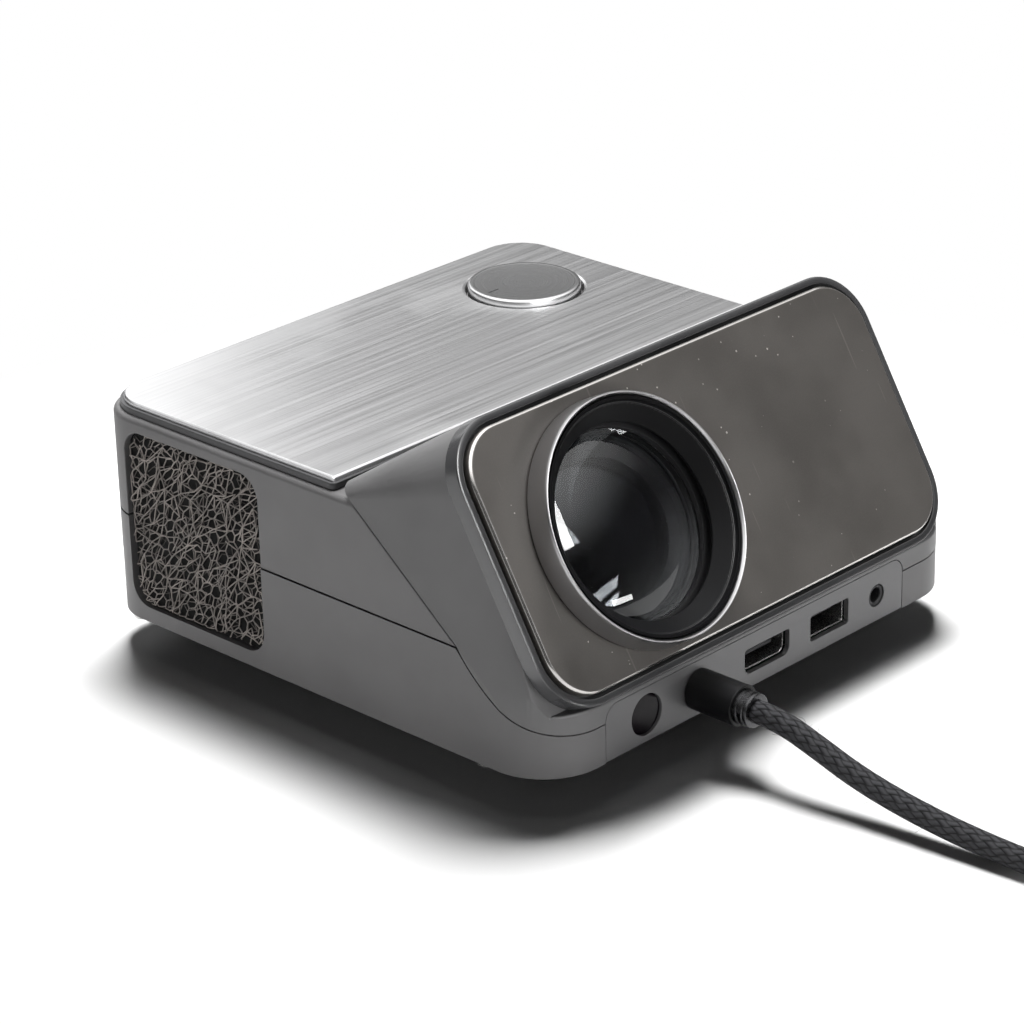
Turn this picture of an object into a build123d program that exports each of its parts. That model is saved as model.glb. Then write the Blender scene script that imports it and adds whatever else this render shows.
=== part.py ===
"""Tabletop projector with a disc drive in its base.

The frame: +X to the right seen from the front, +Y to the rear, +Z up.  The origin is on the table, under the
middle of the body and its lens ring.  The face plate leans back on a hood that rises above the deck.
"""
from build123d import *
from math import cos, hypot, pi, radians, sin, sqrt, tan
import os

os.makedirs("parts", exist_ok=True)

# ---- body ----------------------------------------------------------------------------------------------------
BODY_WIDTH = 150.0
BODY_LENGTH = 150.4
WALL = 2.2
REAR_CORNER_R = 13.0
FRONT_CORNER_R = 16.0
SHELL_FOOT_Z = 9.0
PARTING_Z = 36.1
SHOULDER_Z = 62.6
SHOULDER_R = 1.6
PAN_FLOOR_Z = 2.2
PAN_INSET = 12.0
PAN_WALL = 2.0
PAN_LIP_INSET = 0.4
PAN_VENTS_FROM_FRONT = 47.0
PAN_VENT_COUNT = 6
PAN_VENT_PITCH = 7.0
PAN_VENT_LENGTH = 5.2
PAN_VENT_WIDTH = 2.0
FOOT_R = 6.0
FOOT_MARGIN = 3.0
SCREW_R = 1.25
SCREW_HEAD_R = 2.4
SCREW_HEAD_H = 2.4
SCREW_LENGTH = 8.0
BOSS_R = 3.0
BOSS_HEIGHT = 11.0
BOSS_FROM_WALL = 2.6
BOSS_FROM_FRONT = 24.0
BOSS_FROM_REAR = 8.5

# ---- deck and dial -------------------------------------------------------------------------------------------
DECK_MARGIN = 2.5
DECK_FROM_FRONT = 68.3
DECK_CORNER_R = 11.0
DECK_PLATE_T = 1.2
CARRIER_T = 1.6
CARRIER_RIM = 1.0
DIAL_R = 14.65
DIAL_FROM_SIDE = 29.2
DIAL_FROM_DECK_FRONT = 51.8
DIAL_HEIGHT = 3.5
DIAL_GAP = 0.75
DIAL_TRAVEL = 0.6
DIAL_FLOOR_GAP = 0.8
DIAL_SHAFT_R = 3.0
ENCODER_SIDE = 13.0
ENCODER_HEIGHT = 7.0
DIAL_SHAFT_DROP = 5.0

# ---- leaning face --------------------------------------------------------------------------------------------
FACE_LEAN = 30.6
FACE_MARGIN = 6.375
FACE_HEIGHT = 64.5
FACE_CORNER_R = 12.0
FACE_FOOT_Z = 27.6
FACE_PROUD = 0.2
FACE_GAP = 0.9
RIM_MARGIN = 2.8
RIM_LIP = 1.2
RIM_BACK = 5.5
RIM_FLOOR_T = 2.6
RAMP_FOOT_AHEAD = 4.2
HOOD_BACK_CORNER_R = 4.0
HOOD_BACK_LOW_Z = 11.0
CREASE_KNEE = 27.9
CREASE_MIDDLE = (14.6, 24.4)
CREASE_FRONT_Z = 19.0
CREASE_BULGE = 4.0
SKIRT_TOP_Z = 24.4
SKIRT_EDGE_R = 0.8

# ---- lens ----------------------------------------------------------------------------------------------------
LENS_X = -29.9
LENS_UP = 31.7
RING_R = 29.5
RING_PROUD = 6.982
RING_STANDOFF = 0.4
RING_WALL = 1.6
RING_HUB_T = 1.5
RING_FLANGE_GAP = 0.4
BAFFLE_MOUTH_R = 23.3
BAFFLE_STEPS = 5
BAFFLE_T = 1.0
RUNNING_GAP = 0.05
BARREL_R = 25.1
BARREL_WALL = 2.2
BARREL_FRONT = 0.8
BARREL_STEP = 13.0
BARREL_REAR_R = 16.5
BARREL_LENGTH = 25.0
MOUNT_WALL = 1.25
MOUNT_FRONT = 0.0
FRONT_GLASS_PROUD = 2.0
GLASS_T = 4.0
GLASS_GAP = 0.02
MOUNT_FLANGE_R = 31.5
MOUNT_FLANGE_T = 2.2
FOCUS_TRAVEL = 2.0

# ---- light engine behind the lens ----------------------------------------------------------------------------
TUNNEL_WIDTH = 28.0
TUNNEL_HEIGHT = 18.0
TUNNEL_WALL = 1.6
TUNNEL_LENGTH = 14.6
PANEL_T = 1.6
CONDENSER_T = 3.4
CONDENSER_GAP = 0.05
LED_BOARD_T = 1.6
LED_SIDE = 6.0
SPREADER_T = 3.2
SPREADER_UP = 2.5

# ---- cooling and sound ---------------------------------------------------------------------------------------
GRILLE_WIDTH = 47.2
GRILLE_LOW_Z = 13.0
GRILLE_HIGH_Z = 59.0
GRILLE_FROM_REAR = 34.7
GRILLE_CORNER_R = 6.0
GRILLE_GAP = 0.4
MESH_T = 1.2
MESH_WIRE = 1.0
MESH_COUNT = 12
MESH_BORDER = 1.6
SHROUD_T = 1.8
SHROUD_HEIGHT = 50.0
SHROUD_LENGTH = 47.6
SHROUD_AHEAD = 2.3
FAN_SIDE = 34.0
FAN_T = 10.0
FAN_HUB_R = 8.0
FAN_BLADES = 7
FAN_TIP_GAP = 1.0
FAN_BLADE_ROOT = 0.6
FAN_BLADE_T = 2.2
FAN_BLADE_DEPTH = 5.6
FAN_BLADE_START = 1.6
FAN_HUB_START = 1.0
FAN_HUB_DEPTH = 7.0
FAN_HUB_CAP = 1.4
FAN_ARM = 2.4
FAN_ARM_T = 1.2
FAN_PIN_LENGTH = 5.0
SINK_LENGTH = 26.0
SINK_FINS = 9
SINK_BASE_T = 2.6
SINK_FIN_T = 1.0
PIPE_R = 2.0
PIPE_BEND_R = 6.0
FAN_PIN_R = 1.5
SINK_LIFT = 1.2
SPEAKER_R = 16.5
SPEAKER_DEPTH = 13.0
SPEAKER_MAGNET_R = 8.0
BOARD_STANDOFF = 3.6
BOARD_LENGTH = 50.0
BOARD_POST_R = 2.5
CHIP_SIDE = 15.0
CHIP_FROM_LEFT = 18.0
CHIP_BEHIND = 6.0
MEMORY_SIDES = (11.0, 8.0)
MEMORY_FROM_LEFT = 40.0
MEMORY_AHEAD = 10.0

# ---- disc drive ----------------------------------------------------------------------------------------------
DRIVE_WIDTH = 128.0
DRIVE_LENGTH = 126.6
DRIVE_LOW_Z = 10.6
DRIVE_HEIGHT = 12.7
DRIVE_SHEET = 0.8
BEZEL_WIDTH = 124.6
BEZEL_HEIGHT = 11.2
BEZEL_GAP = 0.35
TRAY_WIDTH = 122.6
TRAY_TRAVEL = 125.0
TRAY_FLOOR_T = 1.8
TRAY_END = 2.0
DISC_SPACE = 4.3
CHASSIS_T = 0.8
CHASSIS_HALF_WIDTH = 34.0
CHASSIS_REAR = 16.0
MOTOR_R = 12.5
MOTOR_FLANGE_R = 14.0
MOTOR_PIN_R = 1.5
TRAY_RIM_H = 2.0
TRAY_SKIRT_H = 4.6
TRAY_SKIRT_T = 1.2
DISC_R = 60.0
DISC_GAP = 0.5
RAIL_T = 0.9
RAIL_H = 4.6
RAIL_LENGTH = 116.0
HUB_R = 14.5
HUB_NOSE_R = 7.35
HUB_GAP = 1.0
PICKUP_WIDTH = 22.0
PICKUP_LENGTH = 14.0
PICKUP_TRAVEL = 30.0
PICKUP_EAR = 5.4
ROD_X = 14.6
SCREW_X = 19.5
ROD_R = 1.2
LEAD_SCREW_R = 1.3
RAIL_GAP = 0.25
HUB_NOSE_H = 2.4
PICKUP_LENS_R = 3.0
SLED_MOTOR_LENGTH = 10.0
EJECT_X = 45.0
EJECT_WIDTH = 9.0
EJECT_HEIGHT = 3.2
EJECT_GAP = 0.15
EJECT_TRAVEL = 0.8

# ---- port strip ----------------------------------------------------------------------------------------------
STRIP_LEFT = -56.3
STRIP_RIGHT = 51.3
STRIP_TOP_Z = 23.2
STRIP_T = 1.4
STRIP_CORNER_R = 4.0
STRIP_GAP = 0.15
PORT_Z = 16.0
WINDOW_X = -42.3
WINDOW_R = 5.1
POWER_X = -24.7
HDMI_X = 0.15
HDMI_WIDTH = 16.1
HDMI_HEIGHT = 6.4
USB_X = 23.25
USB_WIDTH = 14.2
USB_HEIGHT = 6.6
HDMI_MOUTH = (14.0, 4.6)
USB_MOUTH = (12.5, 5.1)
POWER_HOLE_R = 4.0
POWER_BORE_R = 2.95
POWER_PIN_R = 2.7
POWER_PIN_LENGTH = 9.0
JACK_SIDE = 10.6
SENSOR_BACK = 1.0
AUDIO_X = 41.2
AUDIO_HOLE_R = 2.85
AUDIO_BORE_R = 1.8
SOCKET_SHEET = 0.5
SOCKET_DEPTH = 13.0
TONGUE_BACK = 2.2
PORT_BOARD_T = 1.6
PORT_BOARD_DEPTH = 14.4

# ---- lead ----------------------------------------------------------------------------------------------------
LEAD_D = 5.6
PLUG_R = 5.0
PLUG_LENGTH = 13.7
COLLAR_R = 4.2
COLLAR_LENGTH = 4.0
COIL_PITCH = 6.3
COIL_OUTER_R = 36.0
COIL_HALF_TURNS = 5
FAR_BODY = (17.0, 27.0, 8.6)
FAR_SHELL = (12.0, 16.5, 4.5)

# ---- places worked out from the sizes above --------------------------------------------------------------------
LEAN_SIN = sin(radians(FACE_LEAN))
LEAN_COS = cos(radians(FACE_LEAN))
RING_REACH = FACE_PROUD + (RING_R - LENS_UP) * LEAN_SIN + RING_PROUD * LEAN_COS
FRONT_Y = RING_REACH - (BODY_LENGTH + RING_REACH) / 2
REAR_Y = FRONT_Y + BODY_LENGTH
MID_Y = (FRONT_Y + REAR_Y) / 2
HALF_WIDTH = BODY_WIDTH / 2
INNER_X = HALF_WIDTH - WALL
DECK_WIDTH = BODY_WIDTH - 2 * DECK_MARGIN
DECK_REAR_Y = REAR_Y - DECK_MARGIN
DECK_FRONT_Y = FRONT_Y + DECK_FROM_FRONT
DECK_LENGTH = DECK_REAR_Y - DECK_FRONT_Y
DECK_MID_Y = (DECK_FRONT_Y + DECK_REAR_Y) / 2
DECK_TOP_Z = SHOULDER_Z + CARRIER_T + DECK_PLATE_T
DIAL_X = HALF_WIDTH - DIAL_FROM_SIDE
DIAL_Y = DECK_FRONT_Y + DIAL_FROM_DECK_FRONT
DIAL_LOW_Z = SHOULDER_Z + DIAL_FLOOR_GAP
GRILLE_Y = REAR_Y - GRILLE_FROM_REAR
GRILLE_Z = (GRILLE_LOW_Z + GRILLE_HIGH_Z) / 2
GRILLE_HEIGHT = GRILLE_HIGH_Z - GRILLE_LOW_Z
DRIVE_TOP_Z = DRIVE_LOW_Z + DRIVE_HEIGHT
DRIVE_REAR_Y = REAR_Y - WALL - 0.3
DRIVE_FRONT_Y = DRIVE_REAR_Y - DRIVE_LENGTH
DRIVE_MID_Z = DRIVE_LOW_Z + DRIVE_HEIGHT / 2
BEZEL_BACK_Y = REAR_Y - WALL
DISC_Y = BEZEL_BACK_Y - TRAY_END - DISC_GAP - DISC_R
TRAY_FRONT_Y = DISC_Y - DISC_R - DISC_GAP - TRAY_END
TRAY_FLOOR_Z = DRIVE_TOP_Z - DRIVE_SHEET - DISC_SPACE
TRAY_UNDER_Z = TRAY_FLOOR_Z - TRAY_FLOOR_T
TRAY_LOW_Z = TRAY_UNDER_Z - TRAY_SKIRT_H
FACE_WIDTH = BODY_WIDTH - 2 * FACE_MARGIN
FACE = Plane(
    origin=(0, FRONT_Y - FACE_PROUD, FACE_FOOT_Z),
    x_dir=(1, 0, 0),
    z_dir=(0, -LEAN_COS, LEAN_SIN),
)
LENS = Plane(
    origin=FACE.from_local_coords((LENS_X, LENS_UP, 0)),
    x_dir=(1, 0, 0),
    z_dir=(0, -LEAN_COS, LEAN_SIN),
)
MOUNT_R = BARREL_R + RUNNING_GAP + MOUNT_WALL
CREASE_TOP = (DECK_FRONT_Y - RAMP_FOOT_AHEAD, DECK_TOP_Z)
CREASE_LOW = (FRONT_Y + CREASE_KNEE, PARTING_Z)
CREASE_RUN = hypot(CREASE_TOP[0] - CREASE_LOW[0], CREASE_TOP[1] - CREASE_LOW[1])
CREASE_COS = (CREASE_TOP[0] - CREASE_LOW[0]) / CREASE_RUN
CREASE_SIN = (CREASE_TOP[1] - CREASE_LOW[1]) / CREASE_RUN
HOOD_BACK = Plane(
    origin=(0, CREASE_LOW[0], CREASE_LOW[1]),
    x_dir=(1, 0, 0),
    z_dir=(0, -CREASE_SIN, CREASE_COS),
)
FOOT_X = HALF_WIDTH - PAN_INSET - FOOT_R - FOOT_MARGIN
FOOT_FRONT_Y = FRONT_Y + PAN_INSET + FOOT_R + FOOT_MARGIN
FOOT_REAR_Y = REAR_Y - PAN_INSET - FOOT_R - FOOT_MARGIN
FOOT_PLACES = [(x, y) for x in (-FOOT_X, FOOT_X) for y in (FOOT_FRONT_Y, FOOT_REAR_Y)]
BOSS_FRONT_Y = FRONT_Y + BOSS_FROM_FRONT
BOSS_REAR_Y = REAR_Y - BOSS_FROM_REAR
BOSS_X = INNER_X - BOSS_FROM_WALL
BOSS_PLACES = [(x, y) for x in (-BOSS_X, BOSS_X) for y in (BOSS_FRONT_Y, BOSS_REAR_Y)]
HOOD_BACK_LOW = (HOOD_BACK_LOW_Z - PARTING_Z) / CREASE_SIN
ABOVE = 200.0


def body_outline(inset):
    """Draw the body's plan, drawn in by inset, with its front and rear corner radii."""
    low_y = FRONT_Y + inset
    high_y = REAR_Y - inset
    with Locations((0, (low_y + high_y) / 2)):
        face = Rectangle(BODY_WIDTH - 2 * inset, high_y - low_y)
    front = [v for v in face.vertices() if v.Y < MID_Y]
    face = fillet(front, max(FRONT_CORNER_R - inset, 1.0))
    rear = face.vertices().group_by(Axis.Y)[-1]
    fillet(rear, max(REAR_CORNER_R - inset, 1.0))


def deck_outline(spread, corner_r):
    """Draw the deck plate's outline, spread outwards, with rounded rear corners."""
    with Locations((0, DECK_MID_Y)):
        face = Rectangle(DECK_WIDTH + 2 * spread, DECK_LENGTH + 2 * spread)
    rear = [v for v in face.vertices() if v.Y > DECK_MID_Y]
    fillet(rear, corner_r)


def face_outline(spread):
    """Draw the face plate's outline in the leaning plane, spread outwards."""
    with Locations((0, FACE_HEIGHT / 2)):
        RectangleRounded(FACE_WIDTH + 2 * spread, FACE_HEIGHT + 2 * spread, FACE_CORNER_R + spread)


def hood_zone():
    """Draw the side view of everything ahead of and above the hood's crease, past the body all round."""
    with BuildLine() as outline:
        Line((REAR_Y + ABOVE, CREASE_TOP[1]), CREASE_TOP)
        Line(CREASE_TOP, CREASE_LOW)
        ThreePointArc(
            CREASE_LOW,
            (FRONT_Y + CREASE_MIDDLE[0], CREASE_MIDDLE[1]),
            (FRONT_Y, CREASE_FRONT_Z),
        )
        Line((FRONT_Y, CREASE_FRONT_Z), (FRONT_Y - ABOVE, CREASE_FRONT_Z))
        Line((FRONT_Y - ABOVE, CREASE_FRONT_Z), (FRONT_Y - ABOVE, ABOVE))
        Line((FRONT_Y - ABOVE, ABOVE), (REAR_Y + ABOVE, ABOVE))
        Line((REAR_Y + ABOVE, ABOVE), (REAR_Y + ABOVE, CREASE_TOP[1]))
    make_face(outline.edges())


def hood_back_outline(inset):
    """Draw the hood's rear opening in the crease plane, drawn in by inset."""
    height = CREASE_RUN - HOOD_BACK_LOW - 2 * inset
    with Locations((0, (CREASE_RUN + HOOD_BACK_LOW) / 2)):
        RectangleRounded(BODY_WIDTH - 2 * inset, height, HOOD_BACK_CORNER_R)


def hood_form(inset):
    """Make the hood's filled form, drawn in by inset: its flared top, its back edge and the skirt at its foot."""
    with BuildPart() as form:
        with BuildSketch(Plane.XY.offset(SHELL_FOOT_Z)):
            body_outline(inset)
        extrude(amount=SKIRT_TOP_Z - inset - SHELL_FOOT_Z)
        fillet(form.faces().sort_by(Axis.Z)[-1].edges(), SKIRT_EDGE_R)
        with BuildSketch(FACE.offset(-RIM_BACK)):
            face_outline(RIM_MARGIN - inset)
        with BuildSketch(HOOD_BACK):
            hood_back_outline(inset)
        loft(ruled=True)
        with BuildSketch(HOOD_BACK):
            hood_back_outline(inset)
        extrude(amount=-CREASE_BULGE)
        with BuildSketch(Plane.XY):
            body_outline(inset)
        extrude(amount=ABOVE, mode=Mode.INTERSECT)
    return form.part


def strip_opening():
    """Draw the opening for the port strip in the front wall, with rounded upper corners."""
    with Locations(((STRIP_LEFT + STRIP_RIGHT) / 2, SHELL_FOOT_Z)):
        RectangleRounded(
            STRIP_RIGHT - STRIP_LEFT,
            2 * (STRIP_TOP_Z - SHELL_FOOT_Z),
            STRIP_CORNER_R + STRIP_GAP,
        )


# ---- shells ----------------------------------------------------------------------------------------------------
with BuildPart() as base_pan:
    with BuildSketch(Plane.XY.offset(PAN_FLOOR_Z)):
        body_outline(PAN_INSET)
    with BuildSketch(Plane.XY.offset(SHELL_FOOT_Z)):
        body_outline(PAN_LIP_INSET)
    loft(ruled=True)
    with BuildSketch(Plane.XY.offset(PAN_FLOOR_Z + PAN_WALL)):
        body_outline(PAN_INSET)
    with BuildSketch(Plane.XY.offset(SHELL_FOOT_Z)):
        body_outline(WALL + PAN_WALL)
    loft(ruled=True, mode=Mode.SUBTRACT)
    with BuildSketch(Plane.YZ.offset(-HALF_WIDTH)):
        with Locations((FRONT_Y + PAN_VENTS_FROM_FRONT, (PAN_FLOOR_Z + SHELL_FOOT_Z) / 2)):
            with GridLocations(PAN_VENT_PITCH, 0, PAN_VENT_COUNT, 1):
                SlotOverall(PAN_VENT_LENGTH, PAN_VENT_WIDTH, rotation=60)
    extrude(amount=PAN_INSET + WALL, mode=Mode.SUBTRACT)
    with BuildSketch(Plane.XY.offset(PAN_FLOOR_Z)):
        with Locations(*BOSS_PLACES):
            Circle(SCREW_HEAD_R + 0.2)
    extrude(amount=SHELL_FOOT_Z - PAN_FLOOR_Z, mode=Mode.SUBTRACT)
base_pan.part.label = "base_pan"

with BuildPart() as lower_shell:
    with BuildSketch(Plane.XY.offset(SHELL_FOOT_Z)):
        body_outline(0)
    extrude(amount=PARTING_Z - SHELL_FOOT_Z)
    with BuildSketch(Plane.XY.offset(SHELL_FOOT_Z)):
        body_outline(WALL)
    extrude(amount=PARTING_Z - SHELL_FOOT_Z, mode=Mode.SUBTRACT)
    with BuildSketch(Plane.XY.offset(SHELL_FOOT_Z)):
        with Locations(*BOSS_PLACES):
            Circle(BOSS_R)
    extrude(amount=BOSS_HEIGHT)
    with BuildSketch(Plane.XY.offset(SHELL_FOOT_Z)):
        with Locations(*BOSS_PLACES):
            Circle(SCREW_R + RUNNING_GAP)
    extrude(amount=SCREW_LENGTH + 1.0, mode=Mode.SUBTRACT)
    with BuildSketch(Plane.XZ.offset(-FRONT_Y - WALL * 2)):
        strip_opening()
    extrude(amount=WALL * 3, mode=Mode.SUBTRACT)
    with BuildSketch(Plane.YZ.offset(-BODY_WIDTH)):
        with Locations((GRILLE_Y, GRILLE_Z)):
            RectangleRounded(GRILLE_WIDTH, GRILLE_HEIGHT, GRILLE_CORNER_R)
    extrude(amount=2 * BODY_WIDTH, mode=Mode.SUBTRACT)
    with BuildSketch(Plane.XZ.offset(-REAR_Y - WALL)):
        with Locations((0, DRIVE_LOW_Z + DRIVE_HEIGHT / 2)):
            Rectangle(BEZEL_WIDTH + 2 * BEZEL_GAP, BEZEL_HEIGHT + 2 * BEZEL_GAP)
    extrude(amount=WALL * 3, mode=Mode.SUBTRACT)
    with BuildSketch(Plane.YZ):
        hood_zone()
    extrude(amount=BODY_WIDTH, both=True, mode=Mode.SUBTRACT)
lower_shell.part.label = "lower_shell"

with BuildPart() as upper_shell:
    with BuildSketch(Plane.XY.offset(PARTING_Z)):
        body_outline(0)
    extrude(amount=SHOULDER_Z - PARTING_Z)
    fillet(upper_shell.faces().sort_by(Axis.Z)[-1].edges(), SHOULDER_R)
    with BuildSketch(Plane.XY.offset(PARTING_Z)):
        body_outline(WALL)
    extrude(amount=SHOULDER_Z - PARTING_Z - WALL, mode=Mode.SUBTRACT)
    with BuildSketch(Plane.XY.offset(SHOULDER_Z)):
        with Locations((DIAL_X, DIAL_Y)):
            Circle(DIAL_SHAFT_R + DIAL_GAP)
    extrude(amount=-WALL * 2, mode=Mode.SUBTRACT)
    with BuildSketch(Plane.YZ.offset(-BODY_WIDTH)):
        with Locations((GRILLE_Y, GRILLE_Z)):
            RectangleRounded(GRILLE_WIDTH, GRILLE_HEIGHT, GRILLE_CORNER_R)
    extrude(amount=2 * BODY_WIDTH, mode=Mode.SUBTRACT)
    with BuildSketch(Plane.YZ):
        hood_zone()
    extrude(amount=BODY_WIDTH, both=True, mode=Mode.SUBTRACT)
upper_shell.part.label = "upper_shell"

with BuildPart() as front_hood:
    add(hood_form(0))
    with BuildSketch(Plane.YZ):
        hood_zone()
    extrude(amount=BODY_WIDTH, both=True, mode=Mode.INTERSECT)
    add(hood_form(WALL), mode=Mode.SUBTRACT)
    with BuildSketch(FACE.offset(-RIM_BACK)):
        face_outline(RIM_MARGIN)
    extrude(amount=2 * RIM_BACK, mode=Mode.SUBTRACT)
    with BuildSketch(Plane.XZ.offset(-FRONT_Y - WALL * 2)):
        strip_opening()
    extrude(amount=WALL * 3, mode=Mode.SUBTRACT)
front_hood.part.label = "front_hood"


with BuildPart() as face_rim:
    with BuildSketch(FACE.offset(-RIM_BACK)):
        face_outline(RIM_MARGIN)
    extrude(amount=RIM_BACK - RIM_LIP)
    with BuildSketch(FACE.offset(-RIM_BACK + RIM_FLOOR_T)):
        face_outline(FACE_GAP)
    extrude(amount=RIM_BACK, mode=Mode.SUBTRACT)
    with BuildSketch(LENS.offset(-RIM_BACK)):
        Circle(MOUNT_R + RUNNING_GAP + RING_HUB_T + FACE_GAP)
    extrude(amount=RIM_BACK, mode=Mode.SUBTRACT)
face_rim.part.label = "face_rim"

with BuildPart() as face_plate:
    with BuildSketch(FACE.offset(-RIM_BACK + RIM_FLOOR_T)):
        face_outline(0)
    extrude(amount=RIM_BACK - RIM_FLOOR_T)
    front_edges = face_plate.faces().sort_by(Axis(FACE.origin, FACE.z_dir))[-1].edges()
    chamfer(front_edges, 0.5)
    with BuildSketch(LENS.offset(-RIM_BACK)):
        Circle(MOUNT_R + RUNNING_GAP + RING_HUB_T + FACE_GAP)
    extrude(amount=RIM_BACK * 2, mode=Mode.SUBTRACT)
face_plate.part.label = "face_plate"

with BuildPart() as deck_carrier:
    with BuildSketch(Plane.XY.offset(SHOULDER_Z)):
        deck_outline(CARRIER_RIM, DECK_CORNER_R + CARRIER_RIM)
        with Locations((DIAL_X, DIAL_Y)):
            Circle(DIAL_R + DIAL_GAP, mode=Mode.SUBTRACT)
    extrude(amount=CARRIER_T)
deck_carrier.part.label = "deck_carrier"

with BuildPart() as deck_plate:
    with BuildSketch(Plane.XY.offset(SHOULDER_Z + CARRIER_T)):
        deck_outline(0, DECK_CORNER_R)
        with Locations((DIAL_X, DIAL_Y)):
            Circle(DIAL_R + DIAL_GAP, mode=Mode.SUBTRACT)
    extrude(amount=DECK_PLATE_T)
    chamfer(deck_plate.faces().sort_by(Axis.Z)[-1].edges(), 0.4)
deck_plate.part.label = "deck_plate"


with BuildPart() as feet:
    with BuildSketch(Plane.XY):
        with Locations(*FOOT_PLACES):
            Circle(FOOT_R)
    extrude(amount=PAN_FLOOR_Z)
    chamfer(feet.faces().sort_by(Axis.Z)[0:4].edges(), 0.4)
feet.part.label = "feet"

with BuildPart() as case_screws:
    with BuildSketch(Plane.XY.offset(SHELL_FOOT_Z - SCREW_HEAD_H)):
        with Locations(*BOSS_PLACES):
            Circle(SCREW_HEAD_R)
    extrude(amount=SCREW_HEAD_H)
    with BuildSketch(Plane.XY.offset(SHELL_FOOT_Z)):
        with Locations(*BOSS_PLACES):
            Circle(SCREW_R)
    extrude(amount=SCREW_LENGTH)
case_screws.part.label = "case_screws"

# ---- port strip and its sockets --------------------------------------------------------------------------------
STRIP_MID_X = (STRIP_LEFT + STRIP_RIGHT) / 2
STRIP_INNER_Y = FRONT_Y + STRIP_T


def front_plane(y):
    """Return the plane that faces the front at y, with its own x to the right and its own y up."""
    return Plane(origin=(0, y, 0), x_dir=(1, 0, 0), z_dir=(0, -1, 0))


with BuildPart() as port_strip:
    with BuildSketch(front_plane(STRIP_INNER_Y)):
        with Locations((STRIP_MID_X, (SHELL_FOOT_Z + STRIP_TOP_Z) / 2)):
            strip_face = Rectangle(
                STRIP_RIGHT - STRIP_LEFT - 2 * STRIP_GAP,
                STRIP_TOP_Z - SHELL_FOOT_Z - 2 * STRIP_GAP,
            )
        fillet(strip_face.vertices().group_by(Axis.Y)[-1], STRIP_CORNER_R)
        with Locations((WINDOW_X, PORT_Z)):
            Circle(WINDOW_R, mode=Mode.SUBTRACT)
        with Locations((POWER_X, PORT_Z)):
            Circle(POWER_HOLE_R, mode=Mode.SUBTRACT)
        with Locations((HDMI_X, PORT_Z)):
            Rectangle(HDMI_WIDTH, HDMI_HEIGHT, mode=Mode.SUBTRACT)
        with Locations((USB_X, PORT_Z)):
            Rectangle(USB_WIDTH, USB_HEIGHT, mode=Mode.SUBTRACT)
        with Locations((AUDIO_X, PORT_Z)):
            Circle(AUDIO_HOLE_R, mode=Mode.SUBTRACT)
    extrude(amount=STRIP_T)
port_strip.part.label = "port_strip"


def shell_socket(centre_x, width, height, tongue_t, tongue_z):
    """Make a sheet socket's cavity and its tongue round a mouth of the given size."""
    plane = front_plane(STRIP_INNER_Y + SOCKET_DEPTH)
    with BuildPart() as socket:
        with BuildSketch(plane):
            with Locations((centre_x, PORT_Z)):
                Rectangle(width + 2 * SOCKET_SHEET, height + 2 * SOCKET_SHEET)
        extrude(amount=SOCKET_DEPTH)
        with BuildSketch(plane.offset(SOCKET_SHEET * 2)):
            with Locations((centre_x, PORT_Z)):
                Rectangle(width, height)
        extrude(amount=SOCKET_DEPTH, mode=Mode.SUBTRACT)
        with BuildSketch(plane):
            with Locations((centre_x, PORT_Z + tongue_z)):
                Rectangle(width - 2.4, tongue_t)
        extrude(amount=SOCKET_DEPTH - TONGUE_BACK)
    return socket.part


def jack_socket(centre_x, side, bore_r):
    """Make a block with a round blind bore that opens at the strip."""
    plane = front_plane(STRIP_INNER_Y + SOCKET_DEPTH)
    with BuildPart() as socket:
        with BuildSketch(plane):
            with Locations((centre_x, PORT_Z)):
                Rectangle(side, side)
        extrude(amount=SOCKET_DEPTH)
        with BuildSketch(plane.offset(SOCKET_SHEET * 2)):
            with Locations((centre_x, PORT_Z)):
                Circle(bore_r)
        extrude(amount=SOCKET_DEPTH, mode=Mode.SUBTRACT)
    return socket.part


with BuildPart() as hdmi_socket:
    add(shell_socket(HDMI_X, HDMI_MOUTH[0], HDMI_MOUTH[1], 1.2, 0.0))
hdmi_socket.part.label = "hdmi_socket"

with BuildPart() as usb_socket:
    add(shell_socket(USB_X, USB_MOUTH[0], USB_MOUTH[1], 1.8, 1.2))
usb_socket.part.label = "usb_socket"

with BuildPart() as audio_jack:
    add(jack_socket(AUDIO_X, JACK_SIDE, AUDIO_BORE_R))
audio_jack.part.label = "audio_jack"

with BuildPart() as dc_socket:
    add(jack_socket(POWER_X, JACK_SIDE, POWER_BORE_R))
dc_socket.part.label = "dc_socket"

with BuildPart() as remote_sensor:
    with BuildSketch(front_plane(STRIP_INNER_Y + SOCKET_DEPTH)):
        with Locations((WINDOW_X, PORT_Z)):
            Rectangle(JACK_SIDE, JACK_SIDE)
    extrude(amount=SOCKET_DEPTH - SENSOR_BACK)
remote_sensor.part.label = "remote_sensor"

with BuildPart() as port_board:
    board_y = STRIP_INNER_Y + PORT_BOARD_DEPTH / 2
    board_top = PORT_Z - JACK_SIDE / 2
    with BuildSketch(Plane.XY.offset(board_top - PORT_BOARD_T)):
        with Locations((STRIP_MID_X, board_y)):
            Rectangle(STRIP_RIGHT - STRIP_LEFT - 6.0, PORT_BOARD_DEPTH)
    extrude(amount=PORT_BOARD_T)
    for socket_x, mouth in ((HDMI_X, HDMI_MOUTH), (USB_X, USB_MOUTH)):
        seat_z = PORT_Z - mouth[1] / 2 - SOCKET_SHEET
        with BuildSketch(Plane.XY.offset(board_top)):
            with Locations((socket_x, STRIP_INNER_Y + SOCKET_DEPTH / 2)):
                Rectangle(mouth[0] - 4.0, SOCKET_DEPTH - 4.0)
        extrude(amount=seat_z - board_top)
port_board.part.label = "port_board"

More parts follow.
